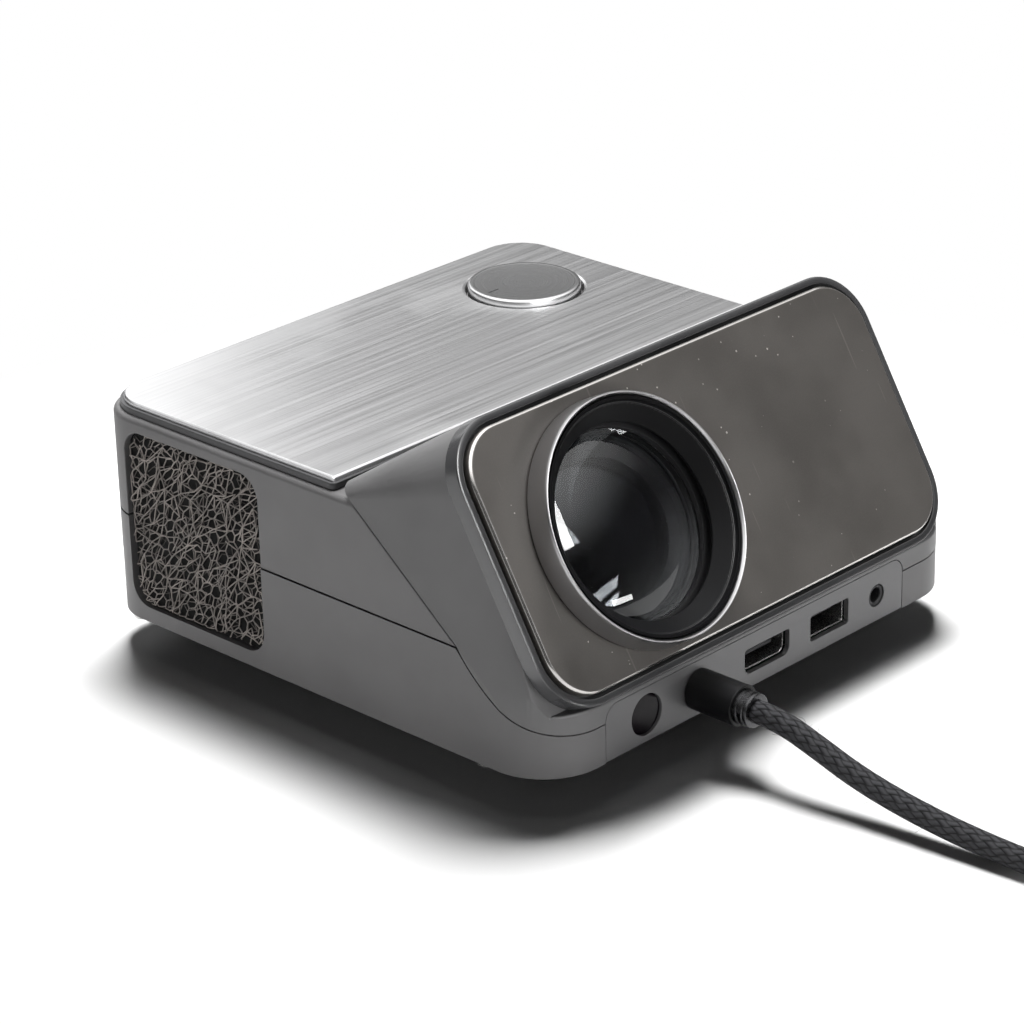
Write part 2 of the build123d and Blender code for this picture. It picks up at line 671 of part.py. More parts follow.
# ---- lens ------------------------------------------------------------------------------------------------------


def ring_profile(points):
    """Revolve a closed profile of (radius, height) points about the lens axis."""
    axis_plane = Plane(origin=LENS.origin, x_dir=(1, 0, 0), z_dir=LENS.y_dir.reverse())
    with BuildPart() as turned:
        with BuildSketch(axis_plane):
            with BuildLine():
                Polyline(*points, close=True)
            make_face()
        revolve(axis=Axis(LENS.origin, LENS.z_dir))
    return turned.part


hub_inner = MOUNT_R + RUNNING_GAP
hub_outer = hub_inner + RING_HUB_T
baffle_outer = RING_R - RING_WALL
with BuildPart() as focus_ring:
    add(ring_profile([
        (hub_inner, RING_FLANGE_GAP - RIM_BACK),
        (hub_outer, RING_FLANGE_GAP - RIM_BACK),
        (hub_outer, RING_STANDOFF),
        (RING_R + 0.4, RING_STANDOFF),
        (RING_R, RING_PROUD - 0.8),
        (RING_R - 0.8, RING_PROUD),
        (baffle_outer, RING_PROUD),
        (baffle_outer, RING_STANDOFF + BAFFLE_T),
        (hub_inner, RING_STANDOFF + BAFFLE_T),
    ]))
focus_ring.part.label = "focus_ring"

step_run = (baffle_outer - BAFFLE_MOUTH_R) / BAFFLE_STEPS
step_rise = (RING_PROUD - 0.5 - RING_STANDOFF - BAFFLE_T) / BAFFLE_STEPS
stairs = []
for step in range(BAFFLE_STEPS):
    radius = BAFFLE_MOUTH_R + step * step_run
    height = RING_STANDOFF + BAFFLE_T + step * step_rise
    stairs.append((radius, height + step_rise))
    stairs.append((radius + step_run, height + step_rise))
with BuildPart() as lens_baffle:
    add(ring_profile([
        (baffle_outer, RING_STANDOFF + BAFFLE_T),
        (BAFFLE_MOUTH_R, RING_STANDOFF + BAFFLE_T),
        *stairs,
    ]))
lens_baffle.part.label = "lens_baffle"

mount_step = BARREL_STEP + FOCUS_TRAVEL + 0.6
mount_rear_r = BARREL_REAR_R + 0.6
mount_end = BARREL_LENGTH + FOCUS_TRAVEL + 1.0
with BuildPart() as lens_mount:
    add(ring_profile([
        (BARREL_R + RUNNING_GAP, -MOUNT_FRONT),
        (MOUNT_R, -MOUNT_FRONT),
        (MOUNT_R, -RIM_BACK),
        (MOUNT_FLANGE_R, -RIM_BACK),
        (MOUNT_FLANGE_R, -RIM_BACK - MOUNT_FLANGE_T),
        (MOUNT_R, -RIM_BACK - MOUNT_FLANGE_T),
        (MOUNT_R, -mount_step - MOUNT_WALL),
        (mount_rear_r + MOUNT_WALL, -mount_step - MOUNT_WALL),
        (mount_rear_r + MOUNT_WALL, -mount_end),
        (mount_rear_r, -mount_end),
        (mount_rear_r, -mount_step),
        (BARREL_R + RUNNING_GAP, -mount_step),
    ]))
lens_mount.part.label = "lens_mount"

with BuildPart() as lens_barrel:
    add(ring_profile([
        (BARREL_R - BARREL_WALL, -BARREL_FRONT),
        (BARREL_R, -BARREL_FRONT),
        (BARREL_R, -BARREL_STEP),
        (BARREL_REAR_R, -BARREL_STEP),
        (BARREL_REAR_R, -BARREL_LENGTH),
        (BARREL_REAR_R - BARREL_WALL, -BARREL_LENGTH),
        (BARREL_REAR_R - BARREL_WALL, -BARREL_STEP + BARREL_WALL),
        (BARREL_R - BARREL_WALL, -BARREL_STEP + BARREL_WALL),
    ]))
lens_barrel.part.label = "lens_barrel"

front_glass_r = BARREL_R - BARREL_WALL
rear_glass_r = BARREL_REAR_R - BARREL_WALL
with BuildPart() as front_lens:
    with BuildSketch(LENS.offset(FRONT_GLASS_PROUD - BARREL_FRONT - GLASS_T)):
        Circle(front_glass_r - GLASS_GAP)
    extrude(amount=GLASS_T)
    front_edge = front_lens.faces().sort_by(Axis(LENS.origin, LENS.z_dir))[-1].edges()
    fillet(front_edge, GLASS_T - 0.8)
front_lens.part.label = "front_lens"

with BuildPart() as rear_lens:
    with BuildSketch(LENS.offset(-BARREL_LENGTH + 1.0)):
        Circle(rear_glass_r - GLASS_GAP)
    extrude(amount=GLASS_T)
rear_lens.part.label = "rear_lens"

# ---- light engine ----------------------------------------------------------------------------------------------
tunnel_front = -mount_end - PANEL_T
tunnel_back = tunnel_front - TUNNEL_LENGTH
with BuildPart() as picture_panel:
    with BuildSketch(LENS.offset(tunnel_front)):
        Rectangle(TUNNEL_WIDTH, TUNNEL_HEIGHT)
    extrude(amount=PANEL_T)
picture_panel.part.label = "picture_panel"

with BuildPart() as light_tunnel:
    with BuildSketch(LENS.offset(tunnel_back)):
        Rectangle(TUNNEL_WIDTH, TUNNEL_HEIGHT)
        Rectangle(TUNNEL_WIDTH - 2 * TUNNEL_WALL, TUNNEL_HEIGHT - 2 * TUNNEL_WALL, mode=Mode.SUBTRACT)
    extrude(amount=TUNNEL_LENGTH)
light_tunnel.part.label = "light_tunnel"

with BuildPart() as condenser_lens:
    with BuildSketch(LENS.offset(tunnel_back + TUNNEL_LENGTH / 2)):
        Circle(TUNNEL_HEIGHT / 2 - TUNNEL_WALL - CONDENSER_GAP)
    extrude(amount=CONDENSER_T)
condenser_lens.part.label = "condenser_lens"

with BuildPart() as led_board:
    with BuildSketch(LENS.offset(tunnel_back - LED_BOARD_T)):
        Rectangle(TUNNEL_WIDTH, TUNNEL_HEIGHT)
    extrude(amount=LED_BOARD_T)
    with BuildSketch(LENS.offset(tunnel_back)):
        Rectangle(LED_SIDE, LED_SIDE)
    extrude(amount=1.0)
led_board.part.label = "led_board"

# ---- cooling ---------------------------------------------------------------------------------------------------
shroud_z = SHOULDER_Z - WALL - 0.3 - SHROUD_HEIGHT / 2
FAN_Z = DRIVE_TOP_Z + FAN_SIDE / 2 + SINK_LIFT
fan_outer_x = -INNER_X + SHROUD_T
fan_inner_x = fan_outer_x + FAN_T
fan_bore_r = FAN_SIDE / 2 - 0.8


def side_plane(x):
    """Return the plane that faces +X at x, with its own x along +Y and its own y up."""
    return Plane(origin=(x, 0, 0), x_dir=(0, 1, 0), z_dir=(1, 0, 0))


def mesh_panel(x):
    """Make the flat pad of crossed wires that fills a side opening, from x inwards to its other face."""
    width = GRILLE_WIDTH - 2 * GRILLE_GAP
    height = GRILLE_HEIGHT - 2 * GRILLE_GAP
    pitch_y = (width - 2 * MESH_BORDER) / MESH_COUNT
    pitch_z = (height - 2 * MESH_BORDER) / MESH_COUNT
    with BuildPart() as panel:
        with BuildSketch(side_plane(x)):
            with Locations((GRILLE_Y, GRILLE_Z)):
                RectangleRounded(width, height, GRILLE_CORNER_R - GRILLE_GAP)
                with GridLocations(pitch_y, pitch_z, MESH_COUNT, MESH_COUNT) as grid:
                    keep = [
                        place for place in grid.local_locations
                        if abs(place.position.X) + abs(place.position.Y) < (width + height) / 2 - 7.0
                    ]
            with Locations(*[Location((GRILLE_Y + p.position.X, GRILLE_Z + p.position.Y)) for p in keep]):
                Rectangle(pitch_y - MESH_WIRE, pitch_z - MESH_WIRE, mode=Mode.SUBTRACT)
        extrude(amount=MESH_T)
    return panel.part


def side_frame(x, thickness, hole_r, hole_z):
    """Make the plate inside a side wall that carries the fan or the speaker."""
    with BuildPart() as frame:
        with BuildSketch(side_plane(x)):
            with Locations((GRILLE_Y - SHROUD_AHEAD, shroud_z)):
                Rectangle(SHROUD_LENGTH, SHROUD_HEIGHT)
            with Locations((GRILLE_Y, hole_z)):
                Circle(hole_r, mode=Mode.SUBTRACT)
        extrude(amount=thickness)
    return frame.part


with BuildPart() as left_mesh:
    add(mesh_panel(-INNER_X - MESH_T))
left_mesh.part.label = "left_mesh"

with BuildPart() as right_mesh:
    add(mesh_panel(INNER_X))
right_mesh.part.label = "right_mesh"

with BuildPart() as fan_shroud:
    add(side_frame(-INNER_X, SHROUD_T, fan_bore_r, FAN_Z))
fan_shroud.part.label = "fan_shroud"

with BuildPart() as fan_frame:
    with BuildSketch(side_plane(fan_outer_x)):
        with Locations((GRILLE_Y, FAN_Z)):
            Rectangle(FAN_SIDE, FAN_SIDE)
            Circle(fan_bore_r, mode=Mode.SUBTRACT)
    extrude(amount=FAN_T)
    with BuildSketch(side_plane(fan_inner_x)):
        with Locations((GRILLE_Y, FAN_Z)):
            Circle(FAN_HUB_R)
            Rectangle(FAN_SIDE - FAN_HUB_START, FAN_ARM)
            Rectangle(FAN_ARM, FAN_SIDE - FAN_HUB_START)
    extrude(amount=-FAN_ARM_T)
    with BuildSketch(side_plane(fan_inner_x - FAN_ARM_T)):
        with Locations((GRILLE_Y, FAN_Z)):
            Circle(FAN_PIN_R)
    extrude(amount=-FAN_PIN_LENGTH)
fan_frame.part.label = "fan_frame"

with BuildPart() as fan_rotor:
    with BuildSketch(side_plane(fan_outer_x + FAN_HUB_START)):
        with Locations((GRILLE_Y, FAN_Z)):
            Circle(FAN_HUB_R)
    extrude(amount=FAN_HUB_DEPTH)
    with BuildSketch(side_plane(fan_outer_x + FAN_HUB_START + FAN_HUB_CAP)):
        with Locations((GRILLE_Y, FAN_Z)):
            Circle(FAN_PIN_R + RUNNING_GAP)
    extrude(amount=FAN_HUB_DEPTH, mode=Mode.SUBTRACT)
    blade_r = (FAN_HUB_R + fan_bore_r - FAN_TIP_GAP) / 2
    with BuildSketch(side_plane(fan_outer_x + FAN_BLADE_START)):
        with Locations((GRILLE_Y, FAN_Z)):
            with PolarLocations(blade_r, FAN_BLADES):
                Rectangle(fan_bore_r - FAN_TIP_GAP - FAN_HUB_R + FAN_BLADE_ROOT, FAN_BLADE_T, rotation=18)
    extrude(amount=FAN_BLADE_DEPTH)
fan_rotor.part.label = "fan_rotor"

with BuildPart() as heatsink:
    sink_z = DRIVE_TOP_Z
    with BuildSketch(Plane.XY.offset(sink_z)):
        with Locations((fan_inner_x + SINK_LENGTH / 2, GRILLE_Y)):
            Rectangle(SINK_LENGTH, FAN_SIDE)
    extrude(amount=SINK_BASE_T + SINK_LIFT)
    with BuildSketch(Plane.XY.offset(sink_z + SINK_BASE_T + SINK_LIFT)):
        with Locations((fan_inner_x + SINK_LENGTH / 2, GRILLE_Y)):
            with GridLocations(0, (FAN_SIDE - SINK_FIN_T) / (SINK_FINS - 1), 1, SINK_FINS):
                Rectangle(SINK_LENGTH, SINK_FIN_T)
    extrude(amount=FAN_SIDE - SINK_BASE_T)
heatsink.part.label = "heatsink"

# The pipe leaves the spreader's back, square to it, and ends on the heatsink's front edge.
PIPE_START = LENS.from_local_coords((-4.0, 3.0, tunnel_back - LED_BOARD_T - SPREADER_T))
PIPE_END = Vector(fan_inner_x + SINK_LENGTH / 2, GRILLE_Y - FAN_SIDE / 2, DRIVE_TOP_Z + PIPE_R + 0.3)
pipe_knee = PIPE_START + LENS.z_dir * -8.0
pipe_turn = Vector(PIPE_END.X, PIPE_END.Y - 9.0, PIPE_END.Z)
with BuildPart() as heat_pipe:
    with BuildLine() as pipe_line:
        FilletPolyline(PIPE_START, pipe_knee, pipe_turn, PIPE_END, radius=PIPE_BEND_R)
    with BuildSketch(Plane(origin=PIPE_START, z_dir=LENS.z_dir * -1)):
        Circle(PIPE_R)
    sweep()
    with BuildSketch(LENS.offset(tunnel_back - LED_BOARD_T - SPREADER_T)):
        with Locations((0, SPREADER_UP)):
            Rectangle(TUNNEL_WIDTH, TUNNEL_HEIGHT - 2 * SPREADER_UP)
    extrude(amount=SPREADER_T)
heat_pipe.part.label = "heat_pipe"

# ---- sound -----------------------------------------------------------------------------------------------------
SPEAKER_Z = FAN_Z
with BuildPart() as speaker_frame:
    add(side_frame(INNER_X - SHROUD_T, SHROUD_T, SPEAKER_R - 1.5, SPEAKER_Z))
speaker_frame.part.label = "speaker_frame"

with BuildPart() as speaker:
    with BuildSketch(side_plane(INNER_X - SHROUD_T)):
        with Locations((GRILLE_Y, SPEAKER_Z)):
            Circle(SPEAKER_R)
    extrude(amount=-2.0)
    with BuildSketch(side_plane(INNER_X - SHROUD_T - 2.0)):
        with Locations((GRILLE_Y, SPEAKER_Z)):
            Circle(SPEAKER_R - 1.0)
    extrude(amount=-SPEAKER_DEPTH + 6.0, taper=35)
    with BuildSketch(side_plane(INNER_X - SHROUD_T - SPEAKER_DEPTH + 4.0)):
        with Locations((GRILLE_Y, SPEAKER_Z)):
            Circle(SPEAKER_MAGNET_R)
    extrude(amount=-4.0)
speaker.part.label = "speaker"

# ---- main board ------------------------------------------------------------------------------------------------
BOARD_LEFT = fan_inner_x + SINK_LENGTH + 4.0
BOARD_RIGHT = INNER_X - SHROUD_T - SPEAKER_DEPTH - 3.0
BOARD_Z = DRIVE_TOP_Z + BOARD_STANDOFF
with BuildPart() as main_board:
    with BuildSketch(Plane.XY.offset(BOARD_Z)):
        with Locations(((BOARD_LEFT + BOARD_RIGHT) / 2, GRILLE_Y)):
            Rectangle(BOARD_RIGHT - BOARD_LEFT, BOARD_LENGTH)
    extrude(amount=PORT_BOARD_T)
    with BuildSketch(Plane.XY.offset(BOARD_Z + PORT_BOARD_T)):
        with Locations((BOARD_LEFT + CHIP_FROM_LEFT, GRILLE_Y + CHIP_BEHIND)):
            Rectangle(CHIP_SIDE, CHIP_SIDE)
        with Locations((BOARD_LEFT + MEMORY_FROM_LEFT, GRILLE_Y - MEMORY_AHEAD)):
            Rectangle(*MEMORY_SIDES)
    extrude(amount=PORT_BOARD_T)
    with BuildSketch(Plane.XY.offset(DRIVE_TOP_Z)):
        with Locations(((BOARD_LEFT + BOARD_RIGHT) / 2, GRILLE_Y)):
            with GridLocations(BOARD_RIGHT - BOARD_LEFT - 8.0, BOARD_LENGTH - 8.0, 2, 2):
                Circle(BOARD_POST_R)
    extrude(amount=BOARD_STANDOFF)
main_board.part.label = "main_board"

# ---- dial ------------------------------------------------------------------------------------------------------
with BuildPart() as dial:
    with BuildSketch(Plane.XY.offset(DIAL_LOW_Z)):
        with Locations((DIAL_X, DIAL_Y)):
            Circle(DIAL_R)
    extrude(amount=DIAL_HEIGHT)
    chamfer(dial.faces().sort_by(Axis.Z)[-1].edges(), 0.6)
    with BuildSketch(Plane.XY.offset(DIAL_LOW_Z)):
        with Locations((DIAL_X, DIAL_Y)):
            Circle(DIAL_SHAFT_R)
    extrude(amount=-DIAL_SHAFT_DROP)
dial.part.label = "dial"

encoder_top = SHOULDER_Z - WALL
encoder_floor_z = encoder_top - ENCODER_HEIGHT + 1.0
with BuildPart() as encoder_body:
    with BuildSketch(Plane.XY.offset(encoder_top - ENCODER_HEIGHT)):
        with Locations((DIAL_X, DIAL_Y)):
            Rectangle(ENCODER_SIDE, ENCODER_SIDE)
    extrude(amount=ENCODER_HEIGHT)
    with BuildSketch(Plane.XY.offset(encoder_floor_z)):
        with Locations((DIAL_X, DIAL_Y)):
            Circle(DIAL_SHAFT_R + DIAL_GAP)
    extrude(amount=ENCODER_HEIGHT, mode=Mode.SUBTRACT)
encoder_body.part.label = "encoder_body"

shaft_foot_z = DIAL_LOW_Z - DIAL_SHAFT_DROP
plunger_foot_z = encoder_floor_z + DIAL_TRAVEL + 0.4
with BuildPart() as dial_plunger:
    with BuildSketch(Plane.XY.offset(plunger_foot_z)):
        with Locations((DIAL_X, DIAL_Y)):
            Circle(DIAL_SHAFT_R)
    extrude(amount=shaft_foot_z - plunger_foot_z)
dial_plunger.part.label = "dial_plunger"

# ---- disc drive ------------------------------------------------------------------------------------------------
DRIVE_MID_Y = (DRIVE_FRONT_Y + DRIVE_REAR_Y) / 2
CHASSIS_LOW_Z = TRAY_UNDER_Z - CHASSIS_T
ROD_Z = (TRAY_LOW_Z + CHASSIS_LOW_Z) / 2 + 0.1
PICKUP_REST_Y = DISC_Y - HUB_R - HUB_GAP - PICKUP_LENGTH / 2
PICKUP_FAR_Y = PICKUP_REST_Y - PICKUP_TRAVEL
ROD_FRONT_Y = PICKUP_FAR_Y - PICKUP_LENGTH / 2 - 0.5
ROD_REAR_Y = PICKUP_REST_Y + PICKUP_LENGTH / 2 + 0.5
TAB_T = 1.0
PICKUP_SLOT_X = PICKUP_WIDTH / 2 + 1.0

with BuildPart() as drive_case:
    with BuildSketch(Plane.XY.offset(DRIVE_LOW_Z)):
        with Locations((0, DRIVE_MID_Y)):
            Rectangle(DRIVE_WIDTH, DRIVE_LENGTH)
    extrude(amount=DRIVE_HEIGHT - DRIVE_SHEET)
    with BuildSketch(Plane.XY.offset(DRIVE_LOW_Z + DRIVE_SHEET)):
        with Locations((0, DRIVE_MID_Y + DRIVE_SHEET)):
            Rectangle(DRIVE_WIDTH - 2 * DRIVE_SHEET, DRIVE_LENGTH)
    extrude(amount=DRIVE_HEIGHT, mode=Mode.SUBTRACT)
drive_case.part.label = "drive_case"

with BuildPart() as drive_cover:
    with BuildSketch(Plane.XY.offset(DRIVE_TOP_Z - DRIVE_SHEET)):
        with Locations((0, DRIVE_MID_Y)):
            Rectangle(DRIVE_WIDTH, DRIVE_LENGTH)
    extrude(amount=DRIVE_SHEET)
drive_cover.part.label = "drive_cover"

with BuildPart() as drive_posts:
    with BuildSketch(Plane.XY.offset(PAN_FLOOR_Z + PAN_WALL)):
        with Locations(*FOOT_PLACES):
            Circle(FOOT_R - 2.0)
    extrude(amount=DRIVE_LOW_Z - PAN_FLOOR_Z - PAN_WALL)
drive_posts.part.label = "drive_posts"

with BuildPart() as disc_tray:
    with BuildSketch(Plane.XY.offset(TRAY_LOW_Z)):
        with Locations((0, (TRAY_FRONT_Y + BEZEL_BACK_Y) / 2)):
            Rectangle(TRAY_WIDTH, BEZEL_BACK_Y - TRAY_FRONT_Y)
    extrude(amount=TRAY_FLOOR_Z + TRAY_RIM_H - TRAY_LOW_Z)
    with BuildSketch(Plane.XY.offset(TRAY_FLOOR_Z)):
        with Locations((0, DISC_Y)):
            Circle(DISC_R + DISC_GAP)
    extrude(amount=TRAY_RIM_H, mode=Mode.SUBTRACT)
    with BuildSketch(Plane.XY.offset(TRAY_LOW_Z)):
        with Locations((0, (TRAY_FRONT_Y + BEZEL_BACK_Y) / 2)):
            Rectangle(TRAY_WIDTH - 2 * TRAY_SKIRT_T, BEZEL_BACK_Y - TRAY_FRONT_Y - 2 * TRAY_SKIRT_T)
    extrude(amount=TRAY_SKIRT_H, mode=Mode.SUBTRACT)
    with BuildSketch(Plane.XY.offset(TRAY_UNDER_Z)):
        with Locations((0, DISC_Y)):
            Circle(HUB_R + HUB_GAP)
        with Locations((0, (DISC_Y + ROD_FRONT_Y) / 2)):
            Rectangle(2 * PICKUP_SLOT_X, DISC_Y - ROD_FRONT_Y)
    extrude(amount=TRAY_FLOOR_T, mode=Mode.SUBTRACT)
disc_tray.part.label = "disc_tray"

with BuildPart() as tray_bezel:
    with BuildSketch(front_plane(BEZEL_BACK_Y)):
        with Locations((0, DRIVE_MID_Z)):
            Rectangle(BEZEL_WIDTH, BEZEL_HEIGHT)
        with Locations((EJECT_X, DRIVE_MID_Z)):
            Rectangle(EJECT_WIDTH + 2 * EJECT_GAP, EJECT_HEIGHT + 2 * EJECT_GAP, mode=Mode.SUBTRACT)
    extrude(amount=-WALL)
tray_bezel.part.label = "tray_bezel"

with BuildPart() as eject_button:
    with BuildSketch(front_plane(REAR_Y)):
        with Locations((EJECT_X, DRIVE_MID_Z)):
            Rectangle(EJECT_WIDTH, EJECT_HEIGHT)
    extrude(amount=WALL - EJECT_TRAVEL - 0.1)
eject_button.part.label = "eject_button"

with BuildPart() as tray_rails:
    with BuildSketch(Plane.XY.offset(TRAY_LOW_Z + 0.8)):
        with GridLocations(TRAY_WIDTH + 2 * RAIL_GAP + RAIL_T, 0, 2, 1):
            with Locations((0, DISC_Y)):
                Rectangle(RAIL_T, RAIL_LENGTH)
    extrude(amount=RAIL_H)
tray_rails.part.label = "tray_rails"

with BuildPart() as tray_chassis:
    with BuildSketch(Plane.XY.offset(CHASSIS_LOW_Z)):
        with Locations((0, (DISC_Y + CHASSIS_REAR + ROD_FRONT_Y - TAB_T) / 2)):
            Rectangle(2 * CHASSIS_HALF_WIDTH, DISC_Y + CHASSIS_REAR - ROD_FRONT_Y + TAB_T)
        with Locations((0, DISC_Y)):
            Circle(MOTOR_R + RUNNING_GAP, mode=Mode.SUBTRACT)
        with Locations((0, (DISC_Y + ROD_FRONT_Y) / 2)):
            Rectangle(2 * PICKUP_SLOT_X, DISC_Y - ROD_FRONT_Y, mode=Mode.SUBTRACT)
    extrude(amount=CHASSIS_T)
    with BuildSketch(Plane.XY.offset(ROD_Z - ROD_R)):
        with Locations((-ROD_X, ROD_FRONT_Y - TAB_T / 2), (-ROD_X, ROD_REAR_Y + TAB_T / 2)):
            Rectangle(3.0, TAB_T)
        with Locations((ROD_X, ROD_REAR_Y + TAB_T / 2)):
            Rectangle(3.0, TAB_T)
        with Locations(((ROD_X + SCREW_X) / 2, ROD_FRONT_Y - TAB_T / 2)):
            Rectangle(SCREW_X - ROD_X + 3.0, TAB_T)
    extrude(amount=CHASSIS_LOW_Z - ROD_Z + ROD_R)
tray_chassis.part.label = "tray_chassis"

with BuildPart() as spindle_motor:
    with BuildSketch(Plane.XY.offset(CHASSIS_LOW_Z - 1.0)):
        with Locations((0, DISC_Y)):
            Circle(MOTOR_FLANGE_R)
    extrude(amount=1.0)
    with BuildSketch(Plane.XY.offset(TRAY_LOW_Z + 0.6)):
        with Locations((0, DISC_Y)):
            Circle(MOTOR_R)
    extrude(amount=TRAY_UNDER_Z - TRAY_LOW_Z)
    with BuildSketch(Plane.XY.offset(TRAY_UNDER_Z)):
        with Locations((0, DISC_Y)):
            Circle(MOTOR_PIN_R)
    extrude(amount=3.0)
spindle_motor.part.label = "spindle_motor"

HUB_LOW_Z = TRAY_UNDER_Z + 0.6 + 0.4
with BuildPart() as spindle_hub:
    with BuildSketch(Plane.XY.offset(HUB_LOW_Z)):
        with Locations((0, DISC_Y)):
            Circle(HUB_R)
    extrude(amount=1.4)
    with BuildSketch(Plane.XY.offset(HUB_LOW_Z + 1.4)):
        with Locations((0, DISC_Y)):
            Circle(HUB_NOSE_R)
    extrude(amount=HUB_NOSE_H, taper=8)
    with BuildSketch(Plane.XY.offset(HUB_LOW_Z)):
        with Locations((0, DISC_Y)):
            Circle(MOTOR_PIN_R + RUNNING_GAP)
    extrude(amount=3.0, mode=Mode.SUBTRACT)
spindle_hub.part.label = "spindle_hub"

with BuildPart() as pickup_sled:
    with BuildSketch(Plane.XY.offset(ROD_Z - ROD_R - 0.5)):
        with Locations((0, PICKUP_REST_Y)):
            Rectangle(PICKUP_WIDTH, PICKUP_LENGTH)
    extrude(amount=TRAY_FLOOR_Z - 0.6 - ROD_Z + ROD_R + 0.5)
    with BuildSketch(Plane.XY.offset(ROD_Z - ROD_R - 0.5)):
        with Locations(((SCREW_X + LEAD_SCREW_R + 1.0 - ROD_X - ROD_R - 1.0) / 2, PICKUP_REST_Y)):
            Rectangle(SCREW_X + LEAD_SCREW_R + ROD_X + ROD_R + 2.0, PICKUP_LENGTH)
    extrude(amount=2 * ROD_R + 0.9)
    with BuildSketch(front_plane(PICKUP_REST_Y)):
        with Locations((-ROD_X, ROD_Z), (ROD_X, ROD_Z)):
            Circle(ROD_R + RUNNING_GAP)
        with Locations((SCREW_X, ROD_Z)):
            Circle(LEAD_SCREW_R + RUNNING_GAP)
    extrude(amount=PICKUP_LENGTH, both=True, mode=Mode.SUBTRACT)
    with BuildSketch(Plane.XY.offset(TRAY_FLOOR_Z - 0.6)):
        with Locations((0, PICKUP_REST_Y)):
            Circle(PICKUP_LENS_R)
    extrude(amount=0.4)
pickup_sled.part.label = "pickup_sled"

with BuildPart() as pickup_rods:
    with BuildSketch(front_plane(ROD_REAR_Y)):
        with Locations((-ROD_X, ROD_Z), (ROD_X, ROD_Z)):
            Circle(ROD_R)
    extrude(amount=ROD_REAR_Y - ROD_FRONT_Y)
pickup_rods.part.label = "pickup_rods"

with BuildPart() as lead_screw:
    with BuildSketch(front_plane(ROD_REAR_Y)):
        with Locations((SCREW_X, ROD_Z)):
            Circle(LEAD_SCREW_R)
    extrude(amount=ROD_REAR_Y - ROD_FRONT_Y - RUNNING_GAP)
lead_screw.part.label = "lead_screw"

with BuildPart() as sled_motor:
    with BuildSketch(Plane.XY.offset(ROD_Z - 1.7)):
        with Locations((SCREW_X, ROD_REAR_Y + RUNNING_GAP + SLED_MOTOR_LENGTH / 2)):
            Rectangle(6.0, SLED_MOTOR_LENGTH)
    extrude(amount=CHASSIS_LOW_Z - ROD_Z + 1.7)
sled_motor.part.label = "sled_motor"

# ---- lead ------------------------------------------------------------------------------------------------------
LEAD_R = LEAD_D / 2
FLOOR_Z = LEAD_R + 0.05
COLLAR_Y = FRONT_Y - PLUG_LENGTH
LEAD_START_Y = COLLAR_Y - COLLAR_LENGTH

with BuildPart() as dc_plug:
    with BuildSketch(front_plane(FRONT_Y)):
        with Locations((POWER_X, PORT_Z)):
            Circle(PLUG_R)
    extrude(amount=PLUG_LENGTH)
    chamfer(dc_plug.faces().sort_by(Axis.Y)[0].edges(), 0.6)
    with BuildSketch(front_plane(FRONT_Y)):
        with Locations((POWER_X, PORT_Z)):
            Circle(POWER_PIN_R)
    extrude(amount=-POWER_PIN_LENGTH)
dc_plug.part.label = "dc_plug"

with BuildPart() as plug_collar:
    with BuildSketch(front_plane(COLLAR_Y)):
        with Locations((POWER_X, PORT_Z)):
            Circle(COLLAR_R)
    extrude(amount=COLLAR_LENGTH)
    chamfer(plug_collar.faces().sort_by(Axis.Y)[0].edges(), 0.5)
plug_collar.part.label = "plug_collar"


def corner_radii(points):
    """Return the largest arc each corner of a route allows, from its shorter run and its turn."""
    radii = []
    for before, corner, after in zip(points, points[1:], points[2:]):
        first = Vector(*corner) - Vector(*before)
        second = Vector(*after) - Vector(*corner)
        half_turn = radians(first.get_angle(second)) / 2
        radii.append(0.45 * min(first.length, second.length) / tan(half_turn))
    return radii


def lead_tube(points):
    """Sweep the lead's round section along straight runs joined by tangent arcs, and print its sizes."""
    radii = corner_radii(points)
    with BuildPart() as tube:
        with BuildLine():
            route = FilletPolyline(*points, radius=radii)
        with BuildSketch(Plane(origin=route @ 0, z_dir=route % 0)):
            Circle(LEAD_R)
        sweep(path=route)
    section = pi * LEAD_R ** 2
    print("tube radii", [round(r, 1) for r in radii], "length", round(route.length, 1),
          "volume/section*length", round(tube.part.volume / (section * route.length), 5))
    return tube.part


COIL_X = POWER_X + 3.7
COIL_Y = -190.0
LEAD_POINTS = [
    (POWER_X, LEAD_START_Y, PORT_Z),
    (POWER_X, -97.4, PORT_Z),
    (-24.6, -107.6, 13.0),
    (-24.2, -119.5, 8.9),
    (-23.7, -134.0, 6.0),
    (-22.9, -149.5, 4.1),
    (-21.7, -165.5, 3.05),
    (COIL_X, -176.0, FLOOR_Z),
    (COIL_X, COIL_Y + LEAD_D, FLOOR_Z),
]
with BuildPart() as cord_run:
    add(lead_tube(LEAD_POINTS))
cord_run.part.label = "cord_run"


